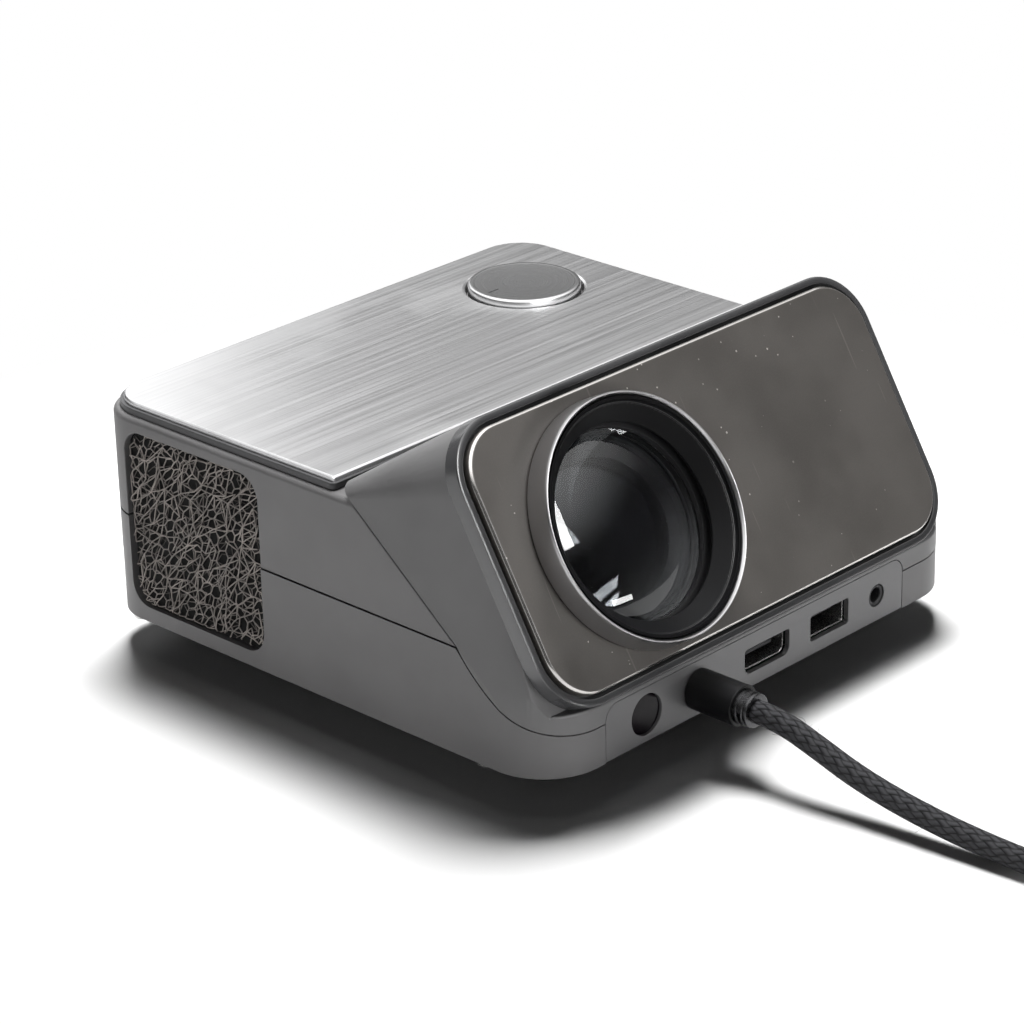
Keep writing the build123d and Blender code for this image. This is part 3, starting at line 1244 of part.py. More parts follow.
def coil_route():
    """List the coil's arcs: half turns that spiral in, climb a layer at the middle and spiral out again."""
    arcs = []
    side = 1.0
    here = Vector(COIL_X, COIL_Y, FLOOR_Z)
    heading = Vector(0, -1, 0)
    radii = [COIL_OUTER_R - k * COIL_PITCH / 2 for k in range(COIL_HALF_TURNS)]
    outward = [radii[-1] + (k + 1) * COIL_PITCH / 2 - COIL_PITCH / 2 for k in range(COIL_HALF_TURNS + 1)]
    for radius in radii:
        there = Vector(here.X + 2 * side * radius, here.Y, here.Z)
        arcs.append((here, Vector((here.X + there.X) / 2, here.Y + heading.Y * radius, here.Z), there, heading))
        here, side, heading = there, -side, heading * -1
    climb = radii[-1] - COIL_PITCH / 2
    there = Vector(here.X + 2 * side * climb, here.Y, here.Z + COIL_PITCH)
    reach = sqrt(climb ** 2 + (COIL_PITCH / 2) ** 2)
    middle = Vector((here.X + there.X) / 2, here.Y + heading.Y * reach, here.Z + COIL_PITCH / 2)
    arcs.append((here, middle, there, heading))
    here, side, heading = there, -side, heading * -1
    for radius in outward:
        there = Vector(here.X + 2 * side * radius, here.Y, here.Z)
        arcs.append((here, Vector((here.X + there.X) / 2, here.Y + heading.Y * radius, here.Z), there, heading))
        here, side, heading = there, -side, heading * -1
    return arcs


def least_gap(route, skip):
    """Measure the least gap between turns of a tube on points along its route."""
    count = 420
    spots = [route @ (k / count) for k in range(count + 1)]
    step = route.length / count
    least = route.length
    for first in range(len(spots)):
        for second in range(first + int(skip / step), len(spots)):
            least = min(least, (spots[first] - spots[second]).length)
    return least - LEAD_D


coil_arcs = coil_route()
with BuildPart() as cord_coil:
    with BuildLine() as coil_line:
        start = coil_arcs[0][0]
        Line((start.X, start.Y + LEAD_D, start.Z), start)
        for begin, middle, finish, heading in coil_arcs:
            first_quarter = TangentArc(begin, middle, tangent=heading)
            TangentArc(middle, finish, tangent=first_quarter % 1)
        finish = coil_arcs[-1][2]
        Line(finish, (finish.X, finish.Y - LEAD_D, finish.Z))
    with BuildSketch(Plane(origin=coil_line.line @ 0, z_dir=(0, -1, 0))):
        Circle(LEAD_R)
    sweep(path=coil_line.wire())
cord_coil.part.label = "cord_coil"
coil_wire = coil_line.wire()
print("coil length", round(coil_wire.length, 1), "least gap", round(least_gap(coil_wire, 40.0), 3),
      "volume/section*length", round(cord_coil.part.volume / (pi * LEAD_R ** 2 * coil_wire.length), 5))

TAIL_X = finish.X
TAIL_Y = finish.Y - LEAD_D
FAR_Z = FAR_BODY[2] / 2 + 0.05
TAIL_POINTS = [
    (TAIL_X, TAIL_Y, finish.Z),
    (TAIL_X, TAIL_Y - 12.0, finish.Z),
    (TAIL_X - 1.5, TAIL_Y - 26.0, finish.Z - 2.4),
    (TAIL_X - 2.0, TAIL_Y - 40.0, FAR_Z),
    (TAIL_X - 2.0, TAIL_Y - 52.0, FAR_Z),
]
with BuildPart() as cord_tail:
    add(lead_tube(TAIL_POINTS))
cord_tail.part.label = "cord_tail"

with BuildPart() as far_plug:
    with BuildSketch(front_plane(TAIL_POINTS[-1][1])):
        with Locations((TAIL_POINTS[-1][0], FAR_Z)):
            RectangleRounded(FAR_BODY[0], FAR_BODY[2], 2.0)
    extrude(amount=FAR_BODY[1])
    with BuildSketch(front_plane(TAIL_POINTS[-1][1] - FAR_BODY[1])):
        with Locations((TAIL_POINTS[-1][0], FAR_Z)):
            Rectangle(FAR_SHELL[0], FAR_SHELL[2])
    extrude(amount=FAR_SHELL[1])
far_plug.part.label = "far_plug"

# ---- files -----------------------------------------------------------------------------------------------------
PIECES = (
    base_pan, lower_shell, upper_shell, front_hood, face_rim, face_plate, deck_carrier, deck_plate, feet,
    case_screws, port_strip, hdmi_socket, usb_socket, audio_jack, dc_socket, remote_sensor, port_board,
    focus_ring, lens_baffle, lens_mount, lens_barrel, front_lens, rear_lens, picture_panel, light_tunnel,
    condenser_lens, led_board, heat_pipe, fan_shroud, fan_frame, fan_rotor, heatsink, left_mesh, right_mesh,
    speaker_frame, speaker, main_board, dial, encoder_body, dial_plunger, drive_case, drive_cover, drive_posts,
    tray_rails, disc_tray, tray_bezel, eject_button, tray_chassis, spindle_motor, spindle_hub, pickup_sled,
    pickup_rods, lead_screw, sled_motor, dc_plug, plug_collar, cord_run, cord_coil, cord_tail, far_plug,
)
for piece in PIECES:
    export_step(piece.part, f"parts/{piece.part.label}.step")
print("lens centre", LENS.origin, "axis", LENS.z_dir)
print("front", FRONT_Y, "rear", REAR_Y, "disc", DISC_Y, "tray floor", TRAY_FLOOR_Z, "rod z", ROD_Z)
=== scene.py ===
"""Looks of a tabletop projector with a disc drive in its base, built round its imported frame.

Sizes are in millimetres in the classes and become metres in the meshes.  +X is to the right seen from
the front, +Y to the rear and +Z up, with the origin on the table.
"""

import logging
import math
from dataclasses import dataclass, field, replace
from enum import Enum
from typing import Any, Callable, Iterable, Sequence

import bmesh
import bpy
from mathutils import Matrix, Vector


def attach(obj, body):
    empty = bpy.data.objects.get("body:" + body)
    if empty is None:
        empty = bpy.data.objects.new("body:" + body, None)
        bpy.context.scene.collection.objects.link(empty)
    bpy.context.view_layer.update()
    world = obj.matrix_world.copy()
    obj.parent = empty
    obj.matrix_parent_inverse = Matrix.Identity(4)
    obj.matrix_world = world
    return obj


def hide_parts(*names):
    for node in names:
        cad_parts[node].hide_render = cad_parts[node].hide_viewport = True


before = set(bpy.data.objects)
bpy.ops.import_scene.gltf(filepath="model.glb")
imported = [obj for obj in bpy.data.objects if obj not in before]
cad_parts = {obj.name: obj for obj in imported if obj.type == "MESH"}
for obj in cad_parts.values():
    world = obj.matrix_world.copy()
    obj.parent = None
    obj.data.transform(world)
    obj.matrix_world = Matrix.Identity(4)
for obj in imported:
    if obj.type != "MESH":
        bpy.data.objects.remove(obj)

LOG = logging.getLogger("projector")
MM = 0.001
FRONT_Y = -72.655
REAR_Y = 77.745
PARTING_Z = 36.1
Colour = tuple[float, float, float]
Point2 = tuple[float, float]
Point3 = tuple[float, float, float]
Outline = Callable[[float], list[Point2]]


def metres(values: Iterable[float]) -> tuple[float, ...]:
    """Turn millimetres into metres."""
    return tuple(MM * value for value in values)


def tint(colour: Colour, factor: float) -> Colour:
    """Lighten or darken a colour, held at white."""
    return tuple(min(factor * value, 1.0) for value in colour)


# ---- shader and geometry graphs ------------------------------------------------------------------
class Expr:
    """One output socket of a graph, with arithmetic that adds Math nodes."""

    def __init__(self, graph: "Graph", socket: bpy.types.NodeSocket) -> None:
        """Keep the graph and the socket."""
        self.graph = graph
        self.socket = socket

    def _math(self, operation: str, first: Any, second: Any = None) -> "Expr":
        """Add one Math node.

        Args:
            operation: The Math node's operation.
            first: Its first value or expression.
            second: Its second value or expression, where it has one.

        Returns:
            The node's output.
        """
        inputs = {0: first} if second is None else {0: first, 1: second}
        return self.graph.node("ShaderNodeMath", {"operation": operation}, inputs)

    def __add__(self, other: Any) -> "Expr":
        """Add."""
        return self._math("ADD", self, other)

    __radd__ = __add__

    def __sub__(self, other: Any) -> "Expr":
        """Subtract."""
        return self._math("SUBTRACT", self, other)

    def __rsub__(self, other: Any) -> "Expr":
        """Subtract from a number."""
        return self._math("SUBTRACT", other, self)

    def __mul__(self, other: Any) -> "Expr":
        """Multiply."""
        return self._math("MULTIPLY", self, other)

    __rmul__ = __mul__

    def __truediv__(self, other: Any) -> "Expr":
        """Divide."""
        return self._math("DIVIDE", self, other)

    def __lt__(self, other: Any) -> "Expr":
        """Give 1 where this is below the other."""
        return self._math("LESS_THAN", self, other)

    def __gt__(self, other: Any) -> "Expr":
        """Give 1 where this is above the other."""
        return self._math("GREATER_THAN", self, other)

    def __abs__(self) -> "Expr":
        """Drop the sign."""
        return self._math("ABSOLUTE", self)

    def most(self, other: Any) -> "Expr":
        """Take the higher of the two."""
        return self._math("MAXIMUM", self, other)

    def sine(self) -> "Expr":
        """Take the sine of an angle in radians."""
        return self._math("SINE", self)

    def whole(self) -> "Expr":
        """Round down."""
        return self._math("FLOOR", self)

    def root(self) -> "Expr":
        """Take the square root."""
        return self._math("SQRT", self)

    def beside(self, name: str) -> "Expr":
        """Give another output of the same node."""
        return Expr(self.graph, self.socket.node.outputs[name])


class Graph:
    """A node tree that is written as expressions."""

    def __init__(self, tree: bpy.types.NodeTree) -> None:
        """Keep the tree."""
        self.tree = tree

    def node(self, kind: str, settings: dict | None = None, inputs: dict | None = None,
             output: Any = 0) -> Expr:
        """Add any node.

        Args:
            kind: The node's type.
            settings: Its own settings, set first; stops is a ramp's list of places and colours.
            inputs: Values or expressions for its sockets, by name or number.
            output: Which output to return.

        Returns:
            That output.
        """
        made = self.tree.nodes.new(kind)
        for name, value in (settings or {}).items():
            if name == "stops":
                ramp = made.color_ramp
                while len(ramp.elements) < len(value):
                    ramp.elements.new(0.5)
                for stop, (place, colour) in zip(ramp.elements, value):
                    stop.position = place
                    stop.color = (*colour, 1.0)
            else:
                setattr(made, name, value)
        for name, value in (inputs or {}).items():
            self.join(value, made.inputs[name])
        return Expr(self, made.outputs[output])

    def join(self, value: Any, socket: bpy.types.NodeSocket) -> None:
        """Link an expression to a socket, or set a value on it."""
        if isinstance(value, Expr):
            self.tree.links.new(value.socket, socket)
        elif isinstance(value, tuple) and socket.type == "RGBA" and len(value) == 3:
            socket.default_value = (*value, 1.0)
        else:
            socket.default_value = value

    def across(self, operation: str, first: Any, second: Any) -> Expr:
        """Add one Vector Math node."""
        return self.node("ShaderNodeVectorMath", {"operation": operation}, {0: first, 1: second})

    def split(self, vector: Expr) -> tuple[Expr, Expr, Expr]:
        """Split a vector."""
        made = self.node("ShaderNodeSeparateXYZ", None, {0: vector})
        return tuple(Expr(self, socket) for socket in made.socket.node.outputs)

    def band(self, value: Expr, low: float, high: float, to_low: float = 0.0, to_high: float = 1.0) -> Expr:
        """Map a value from one range to another, held at both ends."""
        return self.node("ShaderNodeMapRange", {"interpolation_type": "SMOOTHSTEP"}, {
            "Value": value, "From Min": low, "From Max": high, "To Min": to_low, "To Max": to_high})

    def rays(self) -> tuple[Expr, Expr]:
        """Give 1 for camera rays, and 1 for glossy and transmission rays."""
        camera = self.node("ShaderNodeLightPath", output="Is Camera Ray")
        return camera, camera.beside("Is Glossy Ray").most(camera.beside("Is Transmission Ray"))


class Shader(Graph):
    """A surface material's graph."""

    def __init__(self, name: str) -> None:
        """Make an empty material of that name."""
        self.material = bpy.data.materials.new(name)
        self.material.use_nodes = True
        super().__init__(self.material.node_tree)
        self.tree.nodes.clear()

    def place(self, scale: Point3 = (1.0, 1.0, 1.0), middle: Point3 = (0.0, 0.0, 0.0),
              turn: Point3 = (0.0, 0.0, 0.0)) -> Expr:
        """Give the object's own coordinates, moved so that middle is at zero, turned and scaled.

        Args:
            scale: Scale along the three axes.
            middle: The point in millimetres that becomes zero.
            turn: Turns about the three axes in degrees.

        Returns:
            The vector.
        """
        spot = self.node("ShaderNodeTexCoord", output="Object")
        moved = self.across("SUBTRACT", spot, metres(middle))
        return self.node("ShaderNodeMapping", None, {
            "Vector": moved, "Rotation": tuple(math.radians(value) for value in turn), "Scale": scale})

    def noise(self, vector: Expr, scale: float, detail: float = 3.0, roughness: float = 0.55) -> Expr:
        """Give a noise texture's value."""
        return self.node("ShaderNodeTexNoise", None, {
            "Vector": vector, "Scale": scale, "Detail": detail, "Roughness": roughness})

    def cells(self, vector: Expr, scale: float) -> tuple[Expr, Expr]:
        """Give a cell texture's distance and its one random number for each cell."""
        made = self.node("ShaderNodeTexVoronoi", None, {"Vector": vector, "Scale": scale}, "Distance")
        return made, self.node("ShaderNodeSeparateColor", None, {0: made.beside("Color")}, 0)

    def blend(self, factor: Expr | float, first: Any, second: Any) -> Expr:
        """Mix two colours."""
        made = self.tree.nodes.new("ShaderNodeMix")
        made.data_type = "RGBA"
        self.join(factor, made.inputs[0])
        self.join(first, made.inputs[6])
        self.join(second, made.inputs[7])
        return Expr(self, made.outputs[2])

    def bump(self, height: Expr, strength: float, distance: float) -> Expr:
        """Turn a height into a normal, with the distance in metres."""
        return self.node("ShaderNodeBump", None, {
            "Height": height, "Strength": strength, "Distance": distance})

    def surface(self, **inputs: Any) -> bpy.types.Material:
        """Finish the material with one main shader.

        Args:
            inputs: Its sockets, with underscores for the spaces in their names.

        Returns:
            The material.
        """
        shader = self.node("ShaderNodeBsdfPrincipled", None,
                           {name.replace("_", " "): value for name, value in inputs.items()})
        self.node_output(shader)
        return self.material

    def node_output(self, shader: Expr) -> None:
        """Link a shader to the material's output."""
        made = self.tree.nodes.new("ShaderNodeOutputMaterial")
        self.tree.links.new(shader.socket, made.inputs["Surface"])


class Pattern(Graph):
    """A Geometry Nodes tree with named inputs."""

    def __init__(self, name: str, inputs: dict[str, Any]) -> None:
        """Make the tree.

        Args:
            name: The tree's name.
            inputs: Named inputs and their values; whole numbers become integer sockets.
        """
        super().__init__(bpy.data.node_groups.new(name, "GeometryNodeTree"))
        face = self.tree.interface
        face.new_socket(name="Geometry", in_out="INPUT", socket_type="NodeSocketGeometry")
        face.new_socket(name="Geometry", in_out="OUTPUT", socket_type="NodeSocketGeometry")
        self.values = dict(inputs)
        self.keys: dict[str, str] = {}
        for label, value in inputs.items():
            kind = "NodeSocketInt" if isinstance(value, int) else "NodeSocketFloat"
            self.keys[label] = face.new_socket(name=label, in_out="INPUT", socket_type=kind).identifier
        self.entry = self.tree.nodes.new("NodeGroupInput")
        self.exit = self.tree.nodes.new("NodeGroupOutput")

    def given(self, label: str) -> Expr:
        """Read one named input."""
        return Expr(self, self.entry.outputs[label])

    def vector(self, x: Any = 0.0, y: Any = 0.0, z: Any = 0.0) -> Expr:
        """Put three values together."""
        return self.node("ShaderNodeCombineXYZ", None, {0: x, 1: y, 2: z})

    def wobble(self, reach: Any, seed: int) -> Expr:
        """Give each point a random vector up to reach long on each axis."""
        low = self.vector(reach * -1.0, reach * -1.0, 0.0)
        high = self.vector(reach, reach, 0.0)
        return self.node("FunctionNodeRandomValue", {"data_type": "FLOAT_VECTOR"}, {
            0: low, 1: high, "Seed": seed})

    def drift(self, scale: float, reach: Any, shift: float) -> Expr:
        """Give a vector that varies smoothly over the surface, up to about reach long."""
        spot = self.node("GeometryNodeInputPosition")
        moved = self.across("ADD", spot, (shift,) * 3)
        colour = self.node("ShaderNodeTexNoise", None, {
            "Vector": moved, "Scale": scale, "Detail": 2.0}, "Color")
        centred = self.across("SUBTRACT", colour, (0.5,) * 3)
        return self.node("ShaderNodeVectorMath", {"operation": "SCALE"}, {0: centred, "Scale": reach})

    def end(self, shape: Expr, material: bpy.types.Material) -> None:
        """Realize the instances, set the material and link the output."""
        real = self.node("GeometryNodeRealizeInstances", None, {0: shape})
        dressed = self.node("GeometryNodeSetMaterial", None, {"Geometry": real, "Material": material})
        self.tree.links.new(dressed.socket, self.exit.inputs[0])

    def piece(self, name: str, start: bpy.types.Mesh | None = None) -> bpy.types.Object:
        """Run the tree on a mesh and keep its result.

        Args:
            name: The piece's name.
            start: The mesh the tree starts from, or none.

        Returns:
            The piece, a plain mesh.
        """
        made = new_object(name, start or bpy.data.meshes.new(name))
        modifier = made.modifiers.new("pattern", "NODES")
        modifier.node_group = self.tree
        for label, value in self.values.items():
            modifier[self.keys[label]] = value
        return settled(made)


# ---- mesh tools ----------------------------------------------------------------------------------
@dataclass(frozen=True)
class Placement:
    """A plane in millimetres: where its zero is, and which way across, up and out point."""

    origin: Point3
    across: Point3
    up: Point3
    out: Point3

    def at(self, x: float, y: float, z: float) -> Vector:
        """Give a point of the plane in metres."""
        spot = Vector(self.origin) + Vector(self.across) * x + Vector(self.up) * y + Vector(self.out) * z
        return spot * MM

    def moved_to(self, origin: Point3) -> "Placement":
        """Give a plane that faces the same way and has its zero elsewhere."""
        return replace(self, origin=origin)


LEAN_SIN = 0.509041
LEAN_COS = 0.860742
FLAT = Placement((0, 0, 0), (1, 0, 0), (0, 1, 0), (0, 0, 1))
FRONT = Placement((0, FRONT_Y, 0), (1, 0, 0), (0, 0, 1), (0, -1, 0))
REAR = Placement((0, REAR_Y, 0), (-1, 0, 0), (0, 0, 1), (0, 1, 0))
FACE = Placement((0, -72.8552, 27.6), (1, 0, 0), (0, LEAN_SIN, LEAN_COS), (0, -LEAN_COS, LEAN_SIN))
LENS = FACE.moved_to((-29.9, -56.7185, 54.8855))


def new_object(name: str, mesh: bpy.types.ID) -> bpy.types.Object:
    """Make an object of a mesh or curve and link it to the scene."""
    made = bpy.data.objects.new(name, mesh)
    bpy.context.scene.collection.objects.link(made)
    return made


def settled(piece: bpy.types.Object) -> bpy.types.Object:
    """Apply a piece's modifiers by keeping its evaluated mesh."""
    bpy.context.view_layer.update()
    graph = bpy.context.evaluated_depsgraph_get()
    mesh = bpy.data.meshes.new_from_object(
        piece.evaluated_get(graph), preserve_all_data_layers=True, depsgraph=graph)
    piece.modifiers.clear()
    piece.data = mesh
    mesh.name = piece.name
    return piece


def polished(piece: bpy.types.Object, bevel: float = 0.0, steps: int = 2,
             angle: float = 30.0) -> bpy.types.Object:
    """Round a piece's edges and even out its shading.

    Args:
        piece: A mesh object.
        bevel: Width of the rounding in millimetres, or 0 for none.
        steps: Faces across the rounding.
        angle: Edges sharper than this many degrees are rounded or kept sharp.

    Returns:
        The same piece.
    """
    piece.data.shade_smooth()
    piece.data.set_sharp_from_angle(angle=math.radians(angle))
    if bevel:
        edge = piece.modifiers.new("edge", "BEVEL")
        edge.width = bevel * MM
        edge.segments = steps
        edge.limit_method = "ANGLE"
        edge.angle_limit = math.radians(angle)
        edge.use_clamp_overlap = True
        edge.miter_outer = "MITER_ARC"
        settled(piece)
        piece.data.shade_smooth()
        piece.data.set_sharp_from_angle(angle=math.radians(60.0))
    even = piece.modifiers.new("even", "WEIGHTED_NORMAL")
    even.keep_sharp = True
    even.weight = 50
    return settled(piece)


def mesh_object(name: str, mesh: bmesh.types.BMesh, outward: bool = True) -> bpy.types.Object:
    """Turn a working mesh into an object, with its normals outwards."""
    if outward:
        bmesh.ops.recalc_face_normals(mesh, faces=mesh.faces)
    data = bpy.data.meshes.new(name)
    mesh.to_mesh(data)
    mesh.free()
    return new_object(name, data)


def softened(points: Sequence[Point2], radius: float, closed: bool, steps: int = 3) -> list[Point2]:
    """Round the corners of a line.

    Args:
        points: The line's corners.
        radius: How far each rounding reaches from its corner.
        closed: Whether the line closes on itself.
        steps: Points in each rounding, less one.

    Returns:
        The rounded line.
    """
    made: list[Point2] = []
    count = len(points)
    for index, corner in enumerate(points):
        if not closed and index in (0, count - 1):
            made.append(corner)
            continue
        here = Vector(corner)
        before = Vector(points[index - 1]) - here
        after = Vector(points[(index + 1) % count]) - here
        reach = min(radius, before.length * 0.45, after.length * 0.45)
        first = here + before.normalized() * reach
        last = here + after.normalized() * reach
        for step in range(steps + 1):
            t = step / steps
            made.append(tuple(first * (1 - t) ** 2 + here * 2 * t * (1 - t) + last * t ** 2))
    return made


def rounded_outline(width: float, height: float, radii: Sequence[float], middle: Point2 = (0.0, 0.0),
                    steps: int = 9) -> Outline:
    """Describe a rectangle with rounded corners.

    Args:
        width: Size across.
        height: Size up.
        radii: Corner radii, from the low right corner anticlockwise.
        middle: The rectangle's centre.
        steps: Points in each corner, less one.

    Returns:
        A function from an inset to the outline's points.
    """
    def outline(inset: float) -> list[Point2]:
        """List the points of the outline drawn in by inset."""
        points = []
        for corner, radius in enumerate(radii):
            across, up = ((1, -1), (1, 1), (-1, 1), (-1, -1))[corner]
            round_r = max(radius - inset, 0.05)
            centre_x = middle[0] + across * (width / 2 - inset - round_r)
            centre_y = middle[1] + up * (height / 2 - inset - round_r)
            for step in range(steps + 1):
                angle = math.radians(-90 + corner * 90 + 90 * step / steps)
                points.append((centre_x + round_r * math.cos(angle), centre_y + round_r * math.sin(angle)))
        return points
    return outline


def round_outline(radius: float, middle: Point2 = (0.0, 0.0), count: int = 72) -> Outline:
    """Describe a circle as a function from an inset to its points."""
    def outline(inset: float) -> list[Point2]:
        """List the circle's points drawn in by inset."""
        reach = radius - inset
        turns = (math.tau * k / count for k in range(count))
        return [(middle[0] + reach * math.cos(turn), middle[1] + reach * math.sin(turn)) for turn in turns]
    return outline


def skin(mesh: bmesh.types.BMesh, rings: Sequence[list]) -> None:
    """Join each ring of points to the next one with faces."""
    for low, high in zip(rings, rings[1:]):
        for k in range(len(low)):
            j = (k + 1) % len(low)
            mesh.faces.new((low[k], low[j], high[j], high[k]))


def plate(name: str, place: Placement, outline: Outline, edge: Sequence[Point2],
          holes: Sequence[tuple[Outline, Sequence[Point2]]] = ()) -> bpy.types.Object:
    """Make a closed plate with a shaped edge and shaped holes.

    Args:
        name: The piece's name.
        place: Where the plate's zero is and which way it faces.
        outline: The plate's outline for an inset.
        edge: (inset, height) pairs from the low face to the high face.
        holes: The same two for each hole.

    Returns:
        The piece.
    """
    mesh = bmesh.new()
    ends: list[tuple[list, list]] = []
    for shape, profile in [(outline, edge), *holes]:
        rings = [[mesh.verts.new(place.at(x, y, height)) for x, y in shape(inset)]
                 for inset, height in profile]
        skin(mesh, rings)
        ends.append((rings[0], rings[-1]))
    for side, facing in ((0, -1.0), (1, 1.0)):
        rim = [mesh.edges.get((ring[k], ring[(k + 1) % len(ring)]))
               for ring in (pair[side] for pair in ends) for k in range(len(ring))]
        bmesh.ops.triangle_fill(mesh, edges=rim, use_beauty=True, use_dissolve=False,
                                normal=Vector(place.out) * facing)
    return polished(mesh_object(name, mesh), angle=40.0)


def turned(name: str, place: Placement, profile: Sequence[Point2], closed: bool = True,
           count: int = 128) -> bpy.types.Object:
    """Turn a profile about a plane's outward axis.

    Args:
        name: The piece's name.
        place: The plane.
        profile: (radius, height) pairs; one that is not closed starts and ends on the axis.
        closed: Whether the profile closes on itself away from the axis.
        count: Faces round the piece.

    Returns:
        The piece.
    """
    mesh = bmesh.new()
    rings = []
    for radius, height in profile:
        if radius < 1e-6:
            rings.append([mesh.verts.new(place.at(0, 0, height))] * count)
        else:
            rings.append([mesh.verts.new(place.at(radius * math.cos(math.tau * k / count),
                                                  radius * math.sin(math.tau * k / count), height))
                          for k in range(count)])
    pairs = list(zip(rings, rings[1:]))
    if closed:
        pairs.append((rings[-1], rings[0]))
    for low, high in pairs:
        for k in range(count):
            j = (k + 1) % count
            corners = []
            for vert in (low[k], low[j], high[j], high[k]):
                if vert not in corners:
                    corners.append(vert)
            mesh.faces.new(corners)
    return polished(mesh_object(name, mesh), angle=40.0)


def tube(name: str, path: Sequence[Vector], radius: float, sides: int = 16) -> bpy.types.Object:
    """Run a round tube along points, with a UV map: once round, and metres along.

    Args:
        name: The piece's name.
        path: Points in metres.
        radius: The tube's radius in metres.
        sides: Faces round the tube.

    Returns:
        The piece.
    """
    mesh = bmesh.new()
    layer = mesh.loops.layers.uv.new("UVMap")
    count = len(path)
    heading = [(path[min(k + 1, count - 1)] - path[max(k - 1, 0)]).normalized() for k in range(count)]
    side = heading[0].orthogonal().normalized()
    rings, along, run = [], [], 0.0
    for k, spot in enumerate(path):
        side = (side - heading[k] * side.dot(heading[k])).normalized()
        other = heading[k].cross(side)
        run += (spot - path[k - 1]).length if k else 0.0
        along.append(run)
        rings.append([mesh.verts.new(spot + (side * math.cos(math.tau * s / sides)
                                             + other * math.sin(math.tau * s / sides)) * radius)
                      for s in range(sides)])
    for k in range(count - 1):
        for s in range(sides):
            t = (s + 1) % sides
            face = mesh.faces.new((rings[k][s], rings[k][t], rings[k + 1][t], rings[k + 1][s]))
            places = ((s, k), (s + 1, k), (s + 1, k + 1), (s, k + 1))
            for loop, (turn, row) in zip(face.loops, places):
                loop[layer].uv = (turn / sides, along[row])
    mesh.faces.new(rings[0][::-1])
    mesh.faces.new(rings[-1])
    return mesh_object(name, mesh)


def node_copy(node: str, name: str) -> bmesh.types.BMesh:
    """Copy a node's mesh, with its doubles merged and its flat faces whole."""
    mesh = bmesh.new()
    mesh.from_mesh(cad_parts[node].data)
    bmesh.ops.remove_doubles(mesh, verts=mesh.verts, dist=0.002 * MM)
    bmesh.ops.dissolve_limit(mesh, angle_limit=math.radians(0.4), verts=mesh.verts, edges=mesh.edges,
                             delimit={"NORMAL"})
    for layer in list(mesh.loops.layers.uv.values()):
        mesh.loops.layers.uv.remove(layer)
    LOG.info("copied %s for %s: %d faces", node, name, len(mesh.faces))
    return mesh


# ---- finishes ------------------------------------------------------------------------------------
@dataclass(frozen=True)
class MouldedPlastic:
    """Satin moulded plastic with a fine spark texture and a little dust."""

    name: str
    colour: Colour
    roughness: float = 0.5
    spark: float = 0.12
    dust: float = 0.0
    patches: float = 0.08
    shine: float = 0.45

    def material(self) -> bpy.types.Material:
        """Build the material."""
        shader = Shader(self.name)
        spot = shader.place()
        fine = shader.noise(spot, 5200.0, 2.0)
        broad = shader.noise(spot, 26.0, 3.0, 0.6)
        colour = shader.blend(shader.band(broad, 0.35, 0.65), tint(self.colour, 1.0 - self.patches),
                              tint(self.colour, 1.0 + self.patches))
        if self.dust:
            near, chance = shader.cells(spot, 330.0)
            speck = (near < 0.10) * (chance > 1.0 - self.dust)
            colour = shader.blend(speck * 0.8, colour, (0.55, 0.53, 0.5))
        rough = shader.band(broad, 0.3, 0.7, self.roughness - 0.05, self.roughness + 0.06)
        return shader.surface(Base_Color=colour, Roughness=rough, Specular_IOR_Level=self.shine,
                              Normal=shader.bump(fine, self.spark, 0.00004))


class Grain(Enum):
    """Which way a metal's brush marks run."""

    ALONG_X = "along x"
    ALONG_Z = "along z"
    ROUND = "round an upright axis"
    NONE = "blasted, with no direction"


@dataclass(frozen=True)
class WorkedMetal:
    """Brushed, turned or blasted metal with fine marks and smudges."""

    name: str
    colour: Colour
    roughness: float = 0.32
    grain: Grain = Grain.NONE
    middle: Point3 = (0.0, 0.0, 0.0)
    contrast: float = 0.12
    smudge: float = 0.0
    metallic: float = 1.0
    relief: float = 0.1

    def material(self) -> bpy.types.Material:
        """Build the material."""
        shader = Shader(self.name)
        spot = shader.place(middle=self.middle)
        if self.grain is Grain.ROUND:
            x, y, _ = shader.split(spot)
            reach = (x * x + y * y).root()
            marks = shader.noise(shader.node("ShaderNodeCombineXYZ", None, {0: reach}), 5200.0, 3.0, 0.7)
        elif self.grain is Grain.NONE:
            marks = shader.noise(spot, 4200.0, 2.0)
        else:
            scale = (14.0, 4200.0, 4200.0) if self.grain is Grain.ALONG_X else (4200.0, 4200.0, 14.0)
            marks = shader.noise(shader.place(scale=scale), 1.0, 4.0, 0.65)
            bands = shader.noise(shader.place(scale=tuple(value / 6.0 for value in scale)), 1.0, 3.0, 0.6)
            marks = marks * 0.72 + bands * 0.28
        broad = shader.noise(spot, 22.0, 3.0, 0.6)
        colour = shader.blend(shader.band(marks, 0.32, 0.68), tint(self.colour, 1.0 - self.contrast),
                              tint(self.colour, 1.0 + self.contrast))
        rough = shader.band(marks, 0.3, 0.7, self.roughness - 0.5 * self.contrast,
                            self.roughness + 0.6 * self.contrast)
        if self.smudge:
            mask = shader.band(broad, 0.48, 0.68)
            colour = shader.blend(mask * self.smudge, colour, tint(self.colour, 0.72))
            rough = rough + mask * 0.08
        return shader.surface(Base_Color=colour, Roughness=rough, Metallic=self.metallic,
                              Normal=shader.bump(marks, self.relief, 0.00003))


